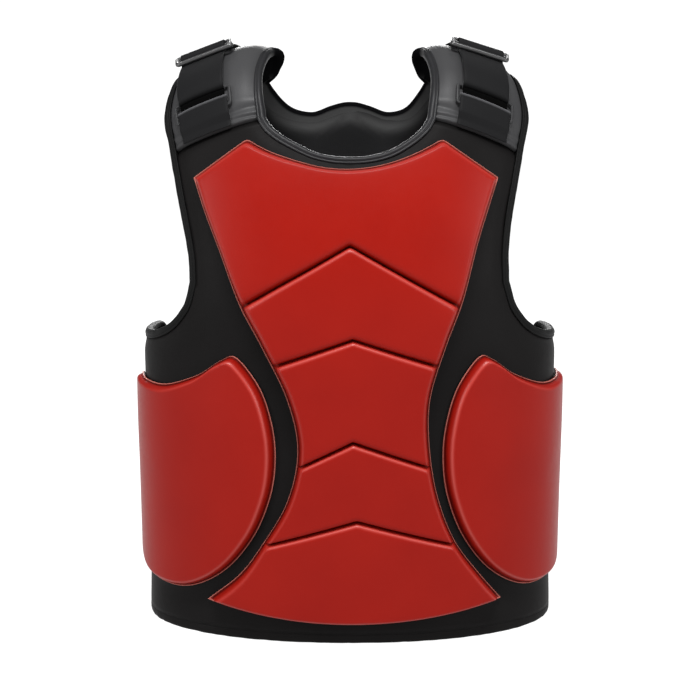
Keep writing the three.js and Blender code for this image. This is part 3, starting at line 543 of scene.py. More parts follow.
def panel_sheet(panel):
    bm = bmesh.new()
    columns = COLUMNS["to_join"] + COLUMNS["to_side"]
    split = COLUMNS["to_join"] / columns
    join = by_width(panel["arm"])[0]
    for side in (-1, 1):
        bound = bound_edge(panel, side)

        def on_form(pattern, to_seam):
            angle = body_angle(panel, side, pattern[:, 0])
            flat = body_surface(angle, pattern[:, 1])
            to_edge = np.array([np.linalg.norm(bound - point, axis=1).min() for point in flat])
            above_hem = ease(pattern[:, 1], HEM_TOP, HEM_TOP + UNEVEN["size"] / 2)
            lift = -seam_dip(to_seam) + (uneven(flat) - UNEVEN["depth"]) * above_hem - pinch(to_edge)
            none = 0 * angle
            attributes = {
                "angle": angle,
                "height": pattern[:, 1],
                # Shade is painted into the leather near the seams.
                "seam": np.exp(-to_seam / SEAM_REACH),
                "lining": none,
                "hollow": none,
                "rubbed": none,
                "to_edge": to_edge,
            }
            return body_point(angle, pattern[:, 1], lift), attributes

        def band(u, v):
            under_join = np.stack([join[0] * u / split, panel["join"] + 0 * u], axis=-1)
            under_arm = underarm_edge(panel, np.clip((u - split) / (1 - split), 0, 1))
            top = np.where((u <= split + TINY)[:, None], under_join, under_arm)
            pattern = np.stack([top[:, 0], lerp(HEM_TOP, top[:, 1], v)], axis=-1)
            side_seam = underarm_edge(panel, np.ones(1))[0, 0]
            return on_form(pattern, (side_seam - pattern[:, 0]) * BODY["half_width"][0] * SIDE_CURVE)

        def yoke(u, v):
            height = lerp(panel["join"], panel["neck"]["height"][0], v / BELOW_NECK)
            up = np.stack([0 * v, height], axis=-1)
            beside = neck_edge(panel, np.clip((v - BELOW_NECK) / (1 - BELOW_NECK), 0, 1))
            inner = np.where((v <= BELOW_NECK + TINY)[:, None], up, beside)
            pattern = lerp(inner, arm_edge(panel, v), u[:, None])
            seam_length = panel["arm"]["height"][-1] - panel["join"]
            return on_form(pattern, (1 - v) * seam_length)

        lay(bm, columns, ROWS["band"], band)
        lay(bm, COLUMNS["to_join"], ROWS["yoke"], yoke)
    sew(bm, SEWN_GAP)
    return bm


def panel_piece(panel, name):
    bm = panel_sheet(panel)
    marks = ("to_edge", "lining", "hollow", "rubbed")
    to_edge, lining, hollow, rubbed = (bm.verts.layers.float[mark] for mark in marks)

    def lining_side(angle, height, verts):
        pressed = pinch(attribute_of(verts, to_edge))
        return body_point(angle, height, uneven(body_surface(angle, height)) - WALL + pressed)

    for vert in thicken(bm, lining_side):
        # The middle of the back's inside is a little greyer and is painted lighter, as painted light falling
        # in at the neck, with a painted highlight band under the neckline.
        vert[lining] = 1 - ease(abs(vert.co.x) / MM, *LINING_REACH)
        # Away from the middle the inside is painted near black and matt, as painted shade.
        vert[hollow] = 1 - vert[lining]
        from_band = (vert[to_edge] - HIGHLIGHT_BAND["from_edge"]) / HIGHLIGHT_BAND["width"]
        vert[rubbed] = vert[lining] * math.exp(-(from_band**2))
    piece = piece_from(bm, name, black_leather, "black_leather", name)


panel_piece(FRONT, "front_panel")
panel_piece(BACK, "back_panel")

# %% [markdown]
# The shoulder pads are separate foam pieces, sewn to both panels. Each is a strip between two curved
# edges. At the seams it takes the panels' own curve, and between them the foam stands up in a crown.

# %% Shoulder pattern
SHOULDER_NECK = {
    "x": [85.5, 84.5, 78.5, 71, 70],
    "y": [-66, -42, -12, 22, 54],
    "z": [557, 580, 597.5, 601.5, 593],
}
SHOULDER_ARM = {
    "x": [176, 174, 169, 161, 152],
    "y": [-50, -30, -4, 26, 54],
    "z": [532, 557, 573, 575, 563],
}
SHOULDER_BLEND = 0.3  # share of the pad, at each end, over which it passes from the panel's curve to its own
SHOULDER_CROWN = {"rise": 9.5, "power": 3}  # mm, and how flat the crown is


def seam_at(panel, across):
    """Points of a panel's shoulder seam on +X, and their outward directions, from neck to arm."""
    across = np.asarray(across, float)
    rib = lerp(neck_edge(panel, np.ones(1))[0], arm_edge(panel, np.ones(1))[0], across[..., None])
    angle = body_angle(panel, 1, rib[..., 0])
    return body_surface(angle, rib[..., 1]), body_normal(angle, rib[..., 1])


def steps_of(rows):
    """Lengths of a polyline's steps. Columns after the third go with the points and are not measured."""
    return np.linalg.norm(np.diff(rows[:, :3], axis=0), axis=1)


def length_of(rows):
    return steps_of(rows).sum()


def evenly(rows, share):
    """Rows of a polyline at shares of its length."""
    along = np.concatenate([[0], np.cumsum(steps_of(rows))])
    return np.stack([np.interp(share * along[-1], along, column) for column in rows.T], axis=-1)


def shoulder_edge(table, across):
    rows = np.column_stack([table["x"], table["y"], table["z"]])
    ends = [seam_at(panel, np.array([across]))[0] for panel in (FRONT, BACK)]
    return smooth_path(np.vstack([ends[0], rows, ends[1]]), np.linspace(0, 1, EDGE_SAMPLES))


neck_line = shoulder_edge(SHOULDER_NECK, 0)
arm_line = shoulder_edge(SHOULDER_ARM, 1)
SHOULDER_LENGTH = (length_of(neck_line) + length_of(arm_line)) / 2


def shoulder_surface(along, across):
    share = np.clip(along, 0, 1)
    points = lerp(evenly(neck_line, share), evenly(arm_line, share), across[:, None])
    for panel, away in ((FRONT, share), (BACK, 1 - share)):
        straight = lerp(seam_at(panel, 0.0)[0], seam_at(panel, 1.0)[0], across[:, None])
        bulge = seam_at(panel, across)[0] - straight
        points = points + bulge * (1 - ease(away, 0, SHOULDER_BLEND))[:, None]
    section = 1 - np.abs(2 * across - 1) ** SHOULDER_CROWN["power"]
    clear_of_seams = ease(share, 0, SHOULDER_BLEND) * ease(1 - share, 0, SHOULDER_BLEND)
    points[:, 2] += SHOULDER_CROWN["rise"] * section * clear_of_seams
    return points


def shoulder_normal(along, across):
    step = 0.01
    forward = shoulder_surface(along + step, across) - shoulder_surface(along - step, across)
    sideways = shoulder_surface(along, across + step) - shoulder_surface(along, across - step)
    own = unit(np.cross(sideways, forward))
    at_front = (1 - ease(along * 2, 0, SHOULDER_BLEND))[:, None]
    at_back = (1 - ease((1 - along) * 2, 0, SHOULDER_BLEND))[:, None]
    mixed = own * (1 - at_front - at_back)
    mixed = mixed + seam_at(FRONT, across)[1] * at_front + seam_at(BACK, across)[1] * at_back
    return unit(mixed)


def shoulder_point(along, across, lift):
    normal = shoulder_normal(along, across)
    return shoulder_surface(along, across) + normal * np.expand_dims(lift, -1)


print("shoulder length in mm:", round(SHOULDER_LENGTH, 1))

# %% [markdown]
# Padded pieces are covers stretched over foam. The cloth solver makes that shape best: the sewn edges
# are held, a light pressure swells the cover between them, and gravity is left out, because the foam
# carries the cover's weight. The moves are evened out between neighbours, as foam does, then capped,
# so that no point leaves the foam, and written back into the mesh.

# %% Swelling a sewn cover
PRESSURE = 4
SWELL_FRAMES = 20
STIFFNESS = {"stretch": 25, "bend": 2}
EVEN_PASSES = 12


def evened(mesh, move, free):
    """The moves of a cover's points, evened out between neighbours as foam does, where the cover is free."""
    edges = np.empty(len(mesh.edges) * 2, int)
    mesh.edges.foreach_get("vertices", edges)
    one, other = edges.reshape(-1, 2).T
    count = np.bincount(edges, minlength=len(move))[:, None]
    for _ in range(EVEN_PASSES):
        total = np.zeros_like(move)
        np.add.at(total, one, move[other])
        np.add.at(total, other, move[one])
        move = lerp(move, total / count, free[:, None])
    return move


def swell(piece, cap):
    """Inflates a cover between the points that the attribute held marks. No point moves over cap mm."""
    scene = bpy.context.scene
    mesh = piece.data
    rest = np.empty(len(mesh.vertices) * 3)
    mesh.vertices.foreach_get("co", rest)
    held = np.empty(len(mesh.vertices))
    mesh.attributes["held"].data.foreach_get("value", held)
    group = piece.vertex_groups.new(name="held")
    for number, weight in enumerate(held):
        if weight > 0:
            group.add([number], weight, "REPLACE")
    cover = piece.modifiers.new("cover", "CLOTH")
    cover.settings.vertex_group_mass = "held"
    cover.settings.use_pressure = True
    cover.settings.uniform_pressure_force = PRESSURE
    cover.settings.tension_stiffness = STIFFNESS["stretch"]
    cover.settings.compression_stiffness = STIFFNESS["stretch"]
    cover.settings.bending_stiffness = STIFFNESS["bend"]
    cover.settings.effector_weights.gravity = 0
    cover.point_cache.frame_start = 1
    cover.point_cache.frame_end = SWELL_FRAMES
    for number in range(1, SWELL_FRAMES + 1):
        scene.frame_set(number)
    swollen = piece.evaluated_get(bpy.context.evaluated_depsgraph_get()).to_mesh()
    moved = np.empty_like(rest)
    swollen.vertices.foreach_get("co", moved)
    move = evened(mesh, (moved - rest).reshape(-1, 3), 1 - held)
    far = np.linalg.norm(move, axis=1)
    limit = cap * MM * np.tanh(far / (cap * MM)) / np.maximum(far, TINY)
    mesh.vertices.foreach_set("co", rest + (move * limit[:, None]).ravel())
    piece.modifiers.remove(cover)
    piece.vertex_groups.remove(group)
    scene.frame_set(1)
    mesh.update()
    print(piece.name, "swelled by up to", round(far.max() / MM, 1), "mm, kept under", cap)


# %% [markdown]
# The leather of a shoulder pad is soft and a little long, so it lies in shallow folds across the pad
# just above the front seam, where the strap presses it. The folds are waves in the lift that fade away
# up the pad.

# %% Shoulder pads
SHOULDER_GRID = {"along": 104, "across": 44}
SEAM_STEPS = [0, 0.5, 1, 1.5, 2, 2.5, 3, 3.6, 4.3, 5, 5.8, 6.6, 7.5, 8.5, 9.5, 10.5]
SEAM_STEPS += [11.7, 13, 14.4, 16, 17.8, 20]
COVER_ROUND = {"rise": 1.2, "reach": 10, "sunk": 1}  # mm, the cover's round edge before it swells
TURNED = 1.6  # mm over which the pad's leather turns down into its front seam
SEWN_MARGIN = 4  # mm beside the seams in which the cover is held
SEAM_LINE = 1.5  # mm beside the seams in which the leather is painted darker, as painted shade
FOLDS = {"from_seam": [6, 10.5, 16, 24], "rise": [-1.3, 1.0, -1.1, 0.8], "width": [1.7, 2.0, 2.4, 4]}
FOLD_BEND = {"depth": 2.5, "radians": 3}  # how a fold wanders across the pad
FOLD_FADE = 0.5  # how much shallower the folds are beside the arm


def spaced(share, count, length, low_steps, high_steps):
    """Distances along a line of count steps: close steps as listed at both ends, and even steps between."""
    step = share * count
    low, high = len(low_steps) - 1, len(high_steps) - 1
    from_low = np.interp(step, np.arange(low + 1), low_steps)
    from_high = length - np.interp(count - step, np.arange(high + 1), high_steps)
    even = lerp(low_steps[-1], length - high_steps[-1], (step - low) / (count - low - high))
    return np.where(step <= low, from_low, np.where(step >= count - high, from_high, even))


def folds(distance, across):
    """The folds' height in mm at a distance from the front seam. They are deepest beside the neck."""
    total = 0 * distance
    for from_seam, rise, width in zip(*FOLDS.values()):
        bend = FOLD_BEND["depth"] * np.sin(FOLD_BEND["radians"] * across + from_seam)
        total = total + rise * np.exp(-(((distance - from_seam - bend) / width) ** 2))
    return total * (1 - FOLD_FADE * across)


def shoulder_pad(name, side):
    bm = bmesh.new()
    mirror = np.array([side, 1, 1])

    def place(u, v):
        distance = spaced(v, SHOULDER_GRID["along"], SHOULDER_LENGTH, SEAM_STEPS, [0])
        v = distance / SHOULDER_LENGTH
        to_edge = np.minimum(u, 1 - u) * np.linalg.norm(neck_line[0] - arm_line[0])
        to_back = SHOULDER_LENGTH - distance
        lift = COVER_ROUND["rise"] * (1 - np.exp(-to_edge / COVER_ROUND["reach"])) - COVER_ROUND["sunk"]
        lift = lift + folds(distance, u) - pinch(to_edge)
        lift = lift - SEAM_DEPTH * np.exp(-((distance / TURNED) ** 2)) - seam_dip(to_back)
        sewn = np.minimum(to_edge, np.minimum(distance, to_back))
        attributes = {
            "angle": v,  # on this pad the lining is placed by shares along and across
            "height": u,
            "held": 1.0 * (sewn < SEWN_MARGIN),
            # Shade is painted near the seams and the edges.
            "seam": np.exp(-sewn / SEAM_LINE),
            "hollow": 0 * v,
            "pinched": pinch(to_edge),
        }
        return shoulder_point(v, u, lift) * mirror, attributes

    def lining_side(along, across, verts):
        return shoulder_point(along, across, attribute_of(verts, pinched) - WALL) * mirror

    lay(bm, SHOULDER_GRID["across"], SHOULDER_GRID["along"], place)
    pinched = bm.verts.layers.float["pinched"]
    inner = thicken(bm, lining_side)
    held = bm.verts.layers.float["held"]
    hollow = bm.verts.layers.float["hollow"]
    # The pad's inside is painted near black and matt, as painted shade.
    for vert in inner:
        vert[held] = 1
        vert[hollow] = 1
    piece = piece_from(bm, name, shoulder_leather, "shoulder_leather", name)
    swell(piece, cap=2.5)
    subdivide(piece)


SIDES = {"left": 1, "right": -1}
for side_name, side in SIDES.items():
    shoulder_pad(f"shoulder_pad_{side_name}", side)

# %% [markdown]
# The chest pad is one sheet of foam under red leather, sewn down round its edge and along four chevron
# channels. Its outline is kept as its reach to the wearer's right and left at each height. Each segment
# between two channels is laid as two grids, whose lines are close together at the sewn edges, where the
# shape turns fast.

# %% Chest pad pattern
CHEST = {
    "height": [40, 72, 105, 150, 205, 255, 310, 350, 410, 470],
    "right": [146, 111, 88, 63, 52, 62, 88, 109, 127, 147],
    "left": [155, 130, 107, 89, 79, 79, 95, 110, 126, 146],
}
CHEST_BOTTOM = {"x": 2, "middle": 21, "ends": 40}
CHEST_CHANNELS = {"x": [7, 3, 3, 0], "middle": [134, 215, 317, 406], "ends": [106, 187, 289, 345]}
CHEST_TOP = {"x": -4, "middle": 480, "peak": 509, "ends": 471, "peak_share": 0.63}


def chest_bottom(share):
    return lerp(CHEST_BOTTOM["middle"], CHEST_BOTTOM["ends"], share**2)


def chest_top(share):
    peak = CHEST_TOP["peak_share"]
    rising = lerp(CHEST_TOP["middle"], CHEST_TOP["peak"], (share / peak) ** 2)
    falling = lerp(CHEST_TOP["peak"], CHEST_TOP["ends"], (share - peak) / (1 - peak))
    return np.where(share < peak, rising, falling)


def chest_line(number):
    """A cross line of the chest pad: the place of its middle, and its height from the middle to an edge."""
    channels = list(zip(*CHEST_CHANNELS.values()))
    if number == 0:
        return CHEST_BOTTOM["x"], chest_bottom
    if number > len(channels):
        return CHEST_TOP["x"], chest_top
    x, middle, ends = channels[number - 1]
    return x, lambda share: lerp(middle, ends, share)


print("chest pad from", CHEST_BOTTOM["middle"], "to", CHEST_TOP["peak"], "mm above the floor")

# %% [markdown]
# The profile of a sewn pad, read inwards from its edge: the cut lip of the leather, the valley of the
# stitching, a steep rise over the edge of the foam, and the flat crown. A channel is a narrow valley
# with the same sides.

# %% Sewn pad profile
PAD_LIFT = 0.5  # mm between the pad and the panel
LIP = {"inset": [0, 0.5, 1.2, 2.0, 2.8, 4.5], "height": [1.6, 1.9, 1.8, 1.0, 1.3, 2]}
RISE = {"inset": [0, 2.1, 2.7, 4.2, 5.6, 7.6, 9.4, 15], "share": [0, 0, 0.25, 0.62, 0.83, 0.975, 0.993, 1]}
CHANNEL = {
    "inset": [0, 0.5, 1.1, 1.6, 2.0, 4.4, 5.8, 9],
    "share": [0.36, 0.42, 0.64, 0.76, 0.83, 0.965, 0.99, 1],
}
EDGE_STEPS = [0, 0.4, 0.8, 1.2, 1.6, 2.1, 2.7, 3.4, 4.3, 5.3, 6.3, 7.2, 8, 9, 10.4, 12.6, 16]
CHANNEL_STEPS = [0, 0.4, 0.8, 1.2, 1.7, 2.3, 3, 4, 5.4, 7.5, 11]
HIGHLIGHT_LIP = (0.63, 1.17)  # mm from the edge, over which the painted highlight on the lip passes into the skin
VALLEY = {"inset": 1.9, "width": 0.8}  # mm from the edge to the stitching
EDGE_HIGHLIGHT_LINE = {"inset": 6.3, "width": 1.2}  # mm from the edge to the painted highlight over the edge of the foam
CHANNEL_HIGHLIGHT_LINE = {"inset": 3.0, "width": 1.1}  # the same below a channel
SHADED_CHANNEL = (0.3, 0.6)  # share of the height over which a channel's painted shade passes into the skin
HELD_EDGE = (8, 14)  # mm from the edge, over which the cover passes from glued foam edge to free
HELD_CHANNEL = (0.97, 0.999)  # the same beside a channel, by share of the height


def pad_rise(inset, thickness, channel_share):
    lip = smooth(inset, LIP["inset"], LIP["height"])
    foam = smooth(inset, RISE["inset"], RISE["share"]) * channel_share
    return lip + (thickness - LIP["height"][-1]) * foam


def soft_line(distance, line):
    """1 on a line that runs along an edge, and 0 well away from it."""
    return np.exp(-(((distance - line["inset"]) / line["width"]) ** 2))


def pad_attributes(angle, height, inset, rise, channel_share, drawn):
    return {
        "angle": angle,
        "height": height,
        "rise": rise,
        # A painted highlight along the lip.
        "rim": 1 - ease(inset, *HIGHLIGHT_LIP),
        # Shade is painted down in the stitching's valley and in the channels.
        "seam": np.maximum(soft_line(inset, VALLEY), 1 - ease(channel_share, *SHADED_CHANNEL)),
        "held": np.maximum(1 - ease(inset, *HELD_EDGE), 1 - ease(channel_share, *HELD_CHANNEL)),
        # Painted highlights over the edges of the foam.
        "drawn": drawn,
    }


def sewn_pad(bm, name, cap):
    """Closes a pad's base sheet with its risen cover, swells the cover, and makes the piece."""
    rise = bm.verts.layers.float["rise"]
    held = bm.verts.layers.float["held"]

    def cover(angle, height, verts):
        return body_point(angle, height, PAD_LIFT + attribute_of(verts, rise))

    base = list(bm.verts)
    thicken(bm, cover)
    for vert in base:
        vert[held] = 1
    piece = piece_from(bm, name, red_leather, "red_leather", name)
    swell(piece, cap)
    subdivide(piece)


print("height of a pad's lip in mm:", max(LIP["height"]))

# %% Chest pad
CHEST_THICKNESS = 16.5  # mm, before the cover swells
CHEST_COLUMNS = 40
SEGMENT_ROWS = 46
MEAN_REACH = 100  # mm, half the pad's mean width, for the slope of its cross lines
CHEST_HIGHLIGHT = {"edge": 0.3, "channel": 0.7, "fade": (3, 12)}  # strengths of the painted highlights, and mm in from the pad's edge


def slope_factor(rise, run):
    """How much longer a level step is than the step square to a slanted edge."""
    return np.sqrt(1 + (rise / run) ** 2)


def chest_segment(bm, number, side):
    lower_x, lower = chest_line(number)
    upper_x, upper = chest_line(number + 1)
    reach_name = "left" if side > 0 else "right"
    is_bottom, is_top = number == 0, number == len(CHEST_CHANNELS["x"])
    low_steps = EDGE_STEPS if is_bottom else CHANNEL_STEPS
    high_steps = EDGE_STEPS if is_top else CHANNEL_STEPS
    nudge = 1e-2

    def half_length(row_share):
        edge_height = lerp(lower(1.0), upper(1.0), row_share)
        reach = smooth(edge_height, CHEST["height"], CHEST[reach_name])
        step = 1
        slant = smooth(edge_height + step, CHEST["height"], CHEST[reach_name]) - reach
        return reach - side * lerp(lower_x, upper_x, row_share), slope_factor(slant, step)

    def place(u, v):
        length, slant = half_length(v)
        inset = spaced(u, CHEST_COLUMNS, length / slant, EDGE_STEPS, [0]) * slant
        outwards = 1 - inset / length
        tall = upper(outwards) - lower(outwards)
        run = 2 * nudge * MEAN_REACH
        low_slant = slope_factor(lower(outwards + nudge) - lower(outwards - nudge), run)
        high_slant = slope_factor(upper(outwards + nudge) - upper(outwards - nudge), run)
        mean_slant = lerp(low_slant, high_slant, v)
        row = spaced(v, SEGMENT_ROWS, tall / mean_slant, low_steps, high_steps) * mean_slant / tall
        length, slant = half_length(row)
        inset = spaced(u, CHEST_COLUMNS, length / slant, EDGE_STEPS, [0]) * slant
        outwards = 1 - inset / length
        height = lerp(lower(outwards), upper(outwards), row)
        x = lerp(lower_x, upper_x, row) + side * (length - inset)
        to_edge = inset / slant
        to_lower, to_upper = row * tall / low_slant, (1 - row) * tall / high_slant
        channel_share = 1 + 0 * u
        for is_edge, distance in ((is_bottom, to_lower), (is_top, to_upper)):
            if is_edge:
                to_edge = np.minimum(to_edge, distance)
            else:
                channel_share = channel_share * smooth(distance, CHANNEL["inset"], CHANNEL["share"])
        rise = pad_rise(to_edge, CHEST_THICKNESS, channel_share)
        angle = angle_at(x, height)
        # A painted highlight along the foam's edge, and a stronger one below each channel.
        drawn = CHEST_HIGHLIGHT["edge"] * soft_line(to_edge, EDGE_HIGHLIGHT_LINE)
        if not is_top:
            below = soft_line(to_upper, CHANNEL_HIGHLIGHT_LINE) * ease(to_edge, *CHEST_HIGHLIGHT["fade"])
            drawn = np.maximum(drawn, CHEST_HIGHLIGHT["channel"] * below)
        attributes = pad_attributes(angle, height, to_edge, rise, channel_share, drawn)
        return body_point(angle, height, PAD_LIFT + 0 * u), attributes

    lay(bm, CHEST_COLUMNS, SEGMENT_ROWS, place)


chest = bmesh.new()
for number in range(len(CHEST_CHANNELS["x"]) + 1):
    for side in (-1, 1):
        chest_segment(chest, number, side)
sew(chest, SEWN_GAP)
sewn_pad(chest, "chest_pad", cap=3.5)

# %% [markdown]
# A rib pad has no channels. Its grid is a square whose rings are drawn out to the outline, so the lines
# run round the edge as the stitching does, and no pole is left in the middle.

# %% Rib pads
RIB = {
    "angle": [29, 22.5, 19.3, 18.6, 20.5, 26, 35.5, 48, 62, 80, 95, 99.5, 100, 99, 91, 75, 58, 43, 34],
    "height": [296, 268, 232, 195, 155, 112, 75, 53, 48, 56, 84, 130, 180, 230, 262, 262, 263, 276, 293],
}
RIB_CENTRE = {"angle": 55, "height": 165}
RIB_THICKNESS = {"front": 11.5, "side": 7.5, "thinning": (20, 85)}  # mm, and degrees round from the front
RIB_SHIFT = {"left": 2.5, "right": -2.5}  # degrees
RIB_GRID = 76
RIB_HIGHLIGHT = 0.6  # how strong the painted highlight is along the front edge of the foam
OUTLINE_WRAP = 3  # rows repeated at both ends of the closed outline


def rib_outline(turn):
    """Points of the closed outline, as angle in degrees and height, at shares of a turn round it."""
    rows = np.column_stack([RIB["angle"], RIB["height"]])
    wrapped = np.vstack([rows[-OUTLINE_WRAP:], rows, rows[:OUTLINE_WRAP]])
    return smooth_path(wrapped, (OUTLINE_WRAP + (turn % 1) * len(rows)) / (len(wrapped) - 1))


def rib_pad(name, side, shift):
    bm = bmesh.new()
    centre = np.array([RIB_CENTRE["angle"], RIB_CENTRE["height"]])

    def place(u, v):
        x, y = 2 * u - 1, 2 * v - 1
        ring = np.maximum(np.abs(x), np.abs(y))
        safe = np.maximum(ring, TINY)
        flat_x, flat_y = x / safe, y / safe
        quarter = np.where(np.abs(x) >= np.abs(y), flat_y * flat_x, -flat_x * flat_y)
        base = np.where(np.abs(x) >= np.abs(y), np.where(x > 0, 0, 2), np.where(y > 0, 1, 3))
        turn = (base + quarter / 2) / 4
        edge = rib_outline(turn)
        from_edge = body_surface(np.radians(edge[:, 0] + shift), edge[:, 1])
        middle = body_surface(np.radians(centre[:1] + shift), centre[1:])
        reach = np.linalg.norm(from_edge - middle, axis=1)
        inset = spaced(1 - ring, RIB_GRID / 2, reach, EDGE_STEPS, [0])
        pattern = lerp(edge, centre, (inset / reach)[:, None])
        thin = ease(pattern[:, 0], *RIB_THICKNESS["thinning"])
        rise = pad_rise(inset, lerp(RIB_THICKNESS["front"], RIB_THICKNESS["side"], thin), 1)
        angle = side * np.radians(pattern[:, 0] + shift)
        # A painted highlight along the foam's front edge, fading where the pad thins.
        drawn = RIB_HIGHLIGHT * soft_line(inset, EDGE_HIGHLIGHT_LINE) * (1 - thin)
        attributes = pad_attributes(angle, pattern[:, 1], inset, rise, 1 + 0 * u, drawn)
        return body_point(angle, pattern[:, 1], PAD_LIFT + 0 * u), attributes

    lay(bm, RIB_GRID, RIB_GRID, place)
    sewn_pad(bm, name, cap=2)


for side_name, side in SIDES.items():
    rib_pad(f"rib_pad_{side_name}", side, RIB_SHIFT[side_name])

# %% [markdown]
# The edges are bound with leather tape, folded over the wall and sewn through both sides. Its section
# is a round bead past the wall with a flat leg on each face, and a groove where the stitching pulls it
# down. A curve with a bevel could sweep a round tube, but the tape's legs have to lie on the leather,
# so the section is swept here along stations that know which way is out and which way is past the edge.

# %% Sweeping a section round an edge
TAPE_LEG = {
    "past": [-0.8, -1.0, -0.2, 0.7, 1.3, 1.9, 2.8, 4.4, 6.2, 7.5, 8],
    "out": [3.0, 3.9, 4.4, 4.4, 3.9, 4.4, 4.7, 4.7, 4.1, 2.6, 0],
}
NECK_LEG = {
    "past": [-3.2, -3.4, -2.5, -1.5, -1.0, -0.5, 0.4, 1.8, 3.4, 4.5, 5],
    "out": [3.0, 4.0, 4.6, 4.6, 4.0, 4.6, 5.0, 5.0, 4.3, 2.6, 0],
}
NECK_ROLL = {
    "past": [-14, -10, -6.5, -3.5, -1, 1.4, 3.4, 4.6, 5],
    "out": [5.6, 5.4, 4.9, 4.5, 4.4, 4.2, 3.4, 1.9, 0],
}
HEM_LEG = {
    "past": [-0.5, -0.4, 0.4, 2, 4, 6, 7.6, 8.7, 9.3, 9.3],
    "out": [5.0, 5.7, 6.0, 6.1, 6.1, 6.0, 5.6, 4.9, 3.8, 0],
}
TAPE_INSIDE = {"past": [0.3, 0.3, 0.3, -0.5], "out": [0, 1.5, 3, 3]}
PUCKER = {"depth": 0.35, "size": 9, "from_edge": (-2, 2), "tape": 8}  # mm
BACK_NECK = (62, 84)  # mm behind the middle: the tape's inner roll passes from the shoulders' painted shade to the back's painted light
BEHIND_CREST = (-25, 5)  # mm behind the middle: the neck's tape passes from its own colour into painted shade


def tape_section(outside, inside, lined):
    """The closed section of a tape: its outer leg, the bead, its inner leg, and back through the wall.

    Its columns are past the edge, out of the wall, and how far it is lining.
    """
    turned_in = np.array([1, -1, 1])
    over = np.column_stack([*outside.values(), np.zeros(len(outside["past"]))])
    under = np.column_stack([*inside.values(), lined * (np.array(inside["past"]) < 0)])
    core = np.column_stack([*TAPE_INSIDE.values(), np.zeros(len(TAPE_INSIDE["past"]))])
    return np.vstack([over, under[-2::-1] * turned_in, core[:0:-1] * turned_in, core])


def sweep_ring(points, normals, section, shade_behind):
    """A closed tube whose section stands on each station of a ring.

    The tape puckers a little between its stitches, and nothing reaches below the floor. Where the last
    argument is 1, the tape is painted near black and matt behind the shoulders' crest, as painted shade.
    """
    count, sides = len(points), len(section)
    past = unit(np.cross(normals, np.roll(points, -1, axis=0) - np.roll(points, 1, axis=0)))

    def place(u, v):
        station = np.rint(u * count).astype(int) % count
        corner = section[np.rint(v * sides).astype(int) % sides]
        edge = points[station]
        pucker = np.array([noise.noise(Vector(point) / PUCKER["size"]) for point in edge]) * PUCKER["depth"]
        over = 1 + pucker * ease(corner[:, 0], *PUCKER["from_edge"]) / PUCKER["tape"]
        placed = edge + past[station] * (corner[:, 0] * over)[:, None]
        placed = placed + normals[station] * (corner[:, 1] * over)[:, None]
        placed[:, 2] = np.maximum(placed[:, 2], 0)
        back = edge[:, 1]
        # Near the back the tape's inner roll gets the lining's painted light and painted highlight band.
        lining = corner[:, 2] * ease(back, *BACK_NECK) * (1 - ease(np.abs(edge[:, 0]), *LINING_REACH))
        # Behind the crest, and on the inner roll away from the back, the neck's tape is painted shade.
        behind = np.where(corner[:, 2] > 0, 1, shade_behind * ease(back, *BEHIND_CREST))
        hollow = behind * (1 - lining) * shade_behind
        return placed, {"lining": lining, "hollow": hollow, "rubbed": HIGHLIGHT_BAND["tape"] * lining}

    bm = bmesh.new()
    lay(bm, count, sides, place)
    sew(bm)
    bmesh.ops.recalc_face_normals(bm, faces=bm.faces)
    return bm


print("corners of the tape's outer leg:", len(TAPE_LEG["past"]))

# %% Stations round the neck, the arms and the hem
EDGE_COUNT = 60
HEM_COUNT = 360
STATION_STEP = 3.0  # mm
MID_WALL = -WALL / 2
whole_shares = np.linspace(0, 1, EDGE_COUNT)
inner_shares = whole_shares[1:-1]


def panel_stations(panel, edge, share):
    """Points in the middle of the wall along an edge on +X, with their outward directions."""
    pattern = edge(panel, share)
    angle = body_angle(panel, 1, pattern[:, 0])
    height = pattern[:, 1]
    return np.hstack([body_point(angle, height, MID_WALL + 0 * angle), body_normal(angle, height)])


def shoulder_stations(across, share):
    across = across + 0 * share
    return np.hstack([shoulder_point(share, across, MID_WALL + 0 * share), shoulder_normal(share, across)])


def even_stations(rows):
    """Points and outward directions at even steps round a closed ring of stations."""
    ring = np.vstack([rows, rows[:1]])
    count = int(length_of(ring) / STATION_STEP)
    even = evenly(ring, np.arange(count) / count)
    return even[:, :3], unit(even[:, 3:])


MIRROR_STATION = np.array([-1, 1, 1, -1, 1, 1])


def neck_stations():
    half = np.vstack([
        panel_stations(FRONT, neck_edge, whole_shares),
        shoulder_stations(0, inner_shares),
        panel_stations(BACK, neck_edge, whole_shares[::-1]),
    ])
    return even_stations(np.vstack([half, half[-2:0:-1] * MIRROR_STATION]))


def arm_stations(side):
    ring = np.vstack([
        shoulder_stations(1, inner_shares[::-1]),
        panel_stations(FRONT, arm_edge, whole_shares[:0:-1]),
        panel_stations(FRONT, underarm_edge, whole_shares),
        panel_stations(BACK, underarm_edge, inner_shares[::-1]),
        panel_stations(BACK, arm_edge, whole_shares),
    ])
    return even_stations(ring if side > 0 else ring[::-1] * MIRROR_STATION)


def hem_stations():
    angle = np.linspace(0, 2 * math.pi, HEM_COUNT, endpoint=False)[::-1]
    height = HEM_TOP + 0 * angle
    normal = unit(body_normal(angle, height) * (1, 1, 0))
    return even_stations(np.hstack([body_surface(angle, height) + normal * MID_WALL, normal]))


print("stations round the neck:", len(neck_stations()[0]))

# %% [markdown]
# The tape lies flat on the outside, with its stitching in a groove. Round the neck the lining is rolled
# over the edge to meet it, so no tape shows inside. The hem's tape is flush with the panels and flat
# underneath, because the guard stands on it.

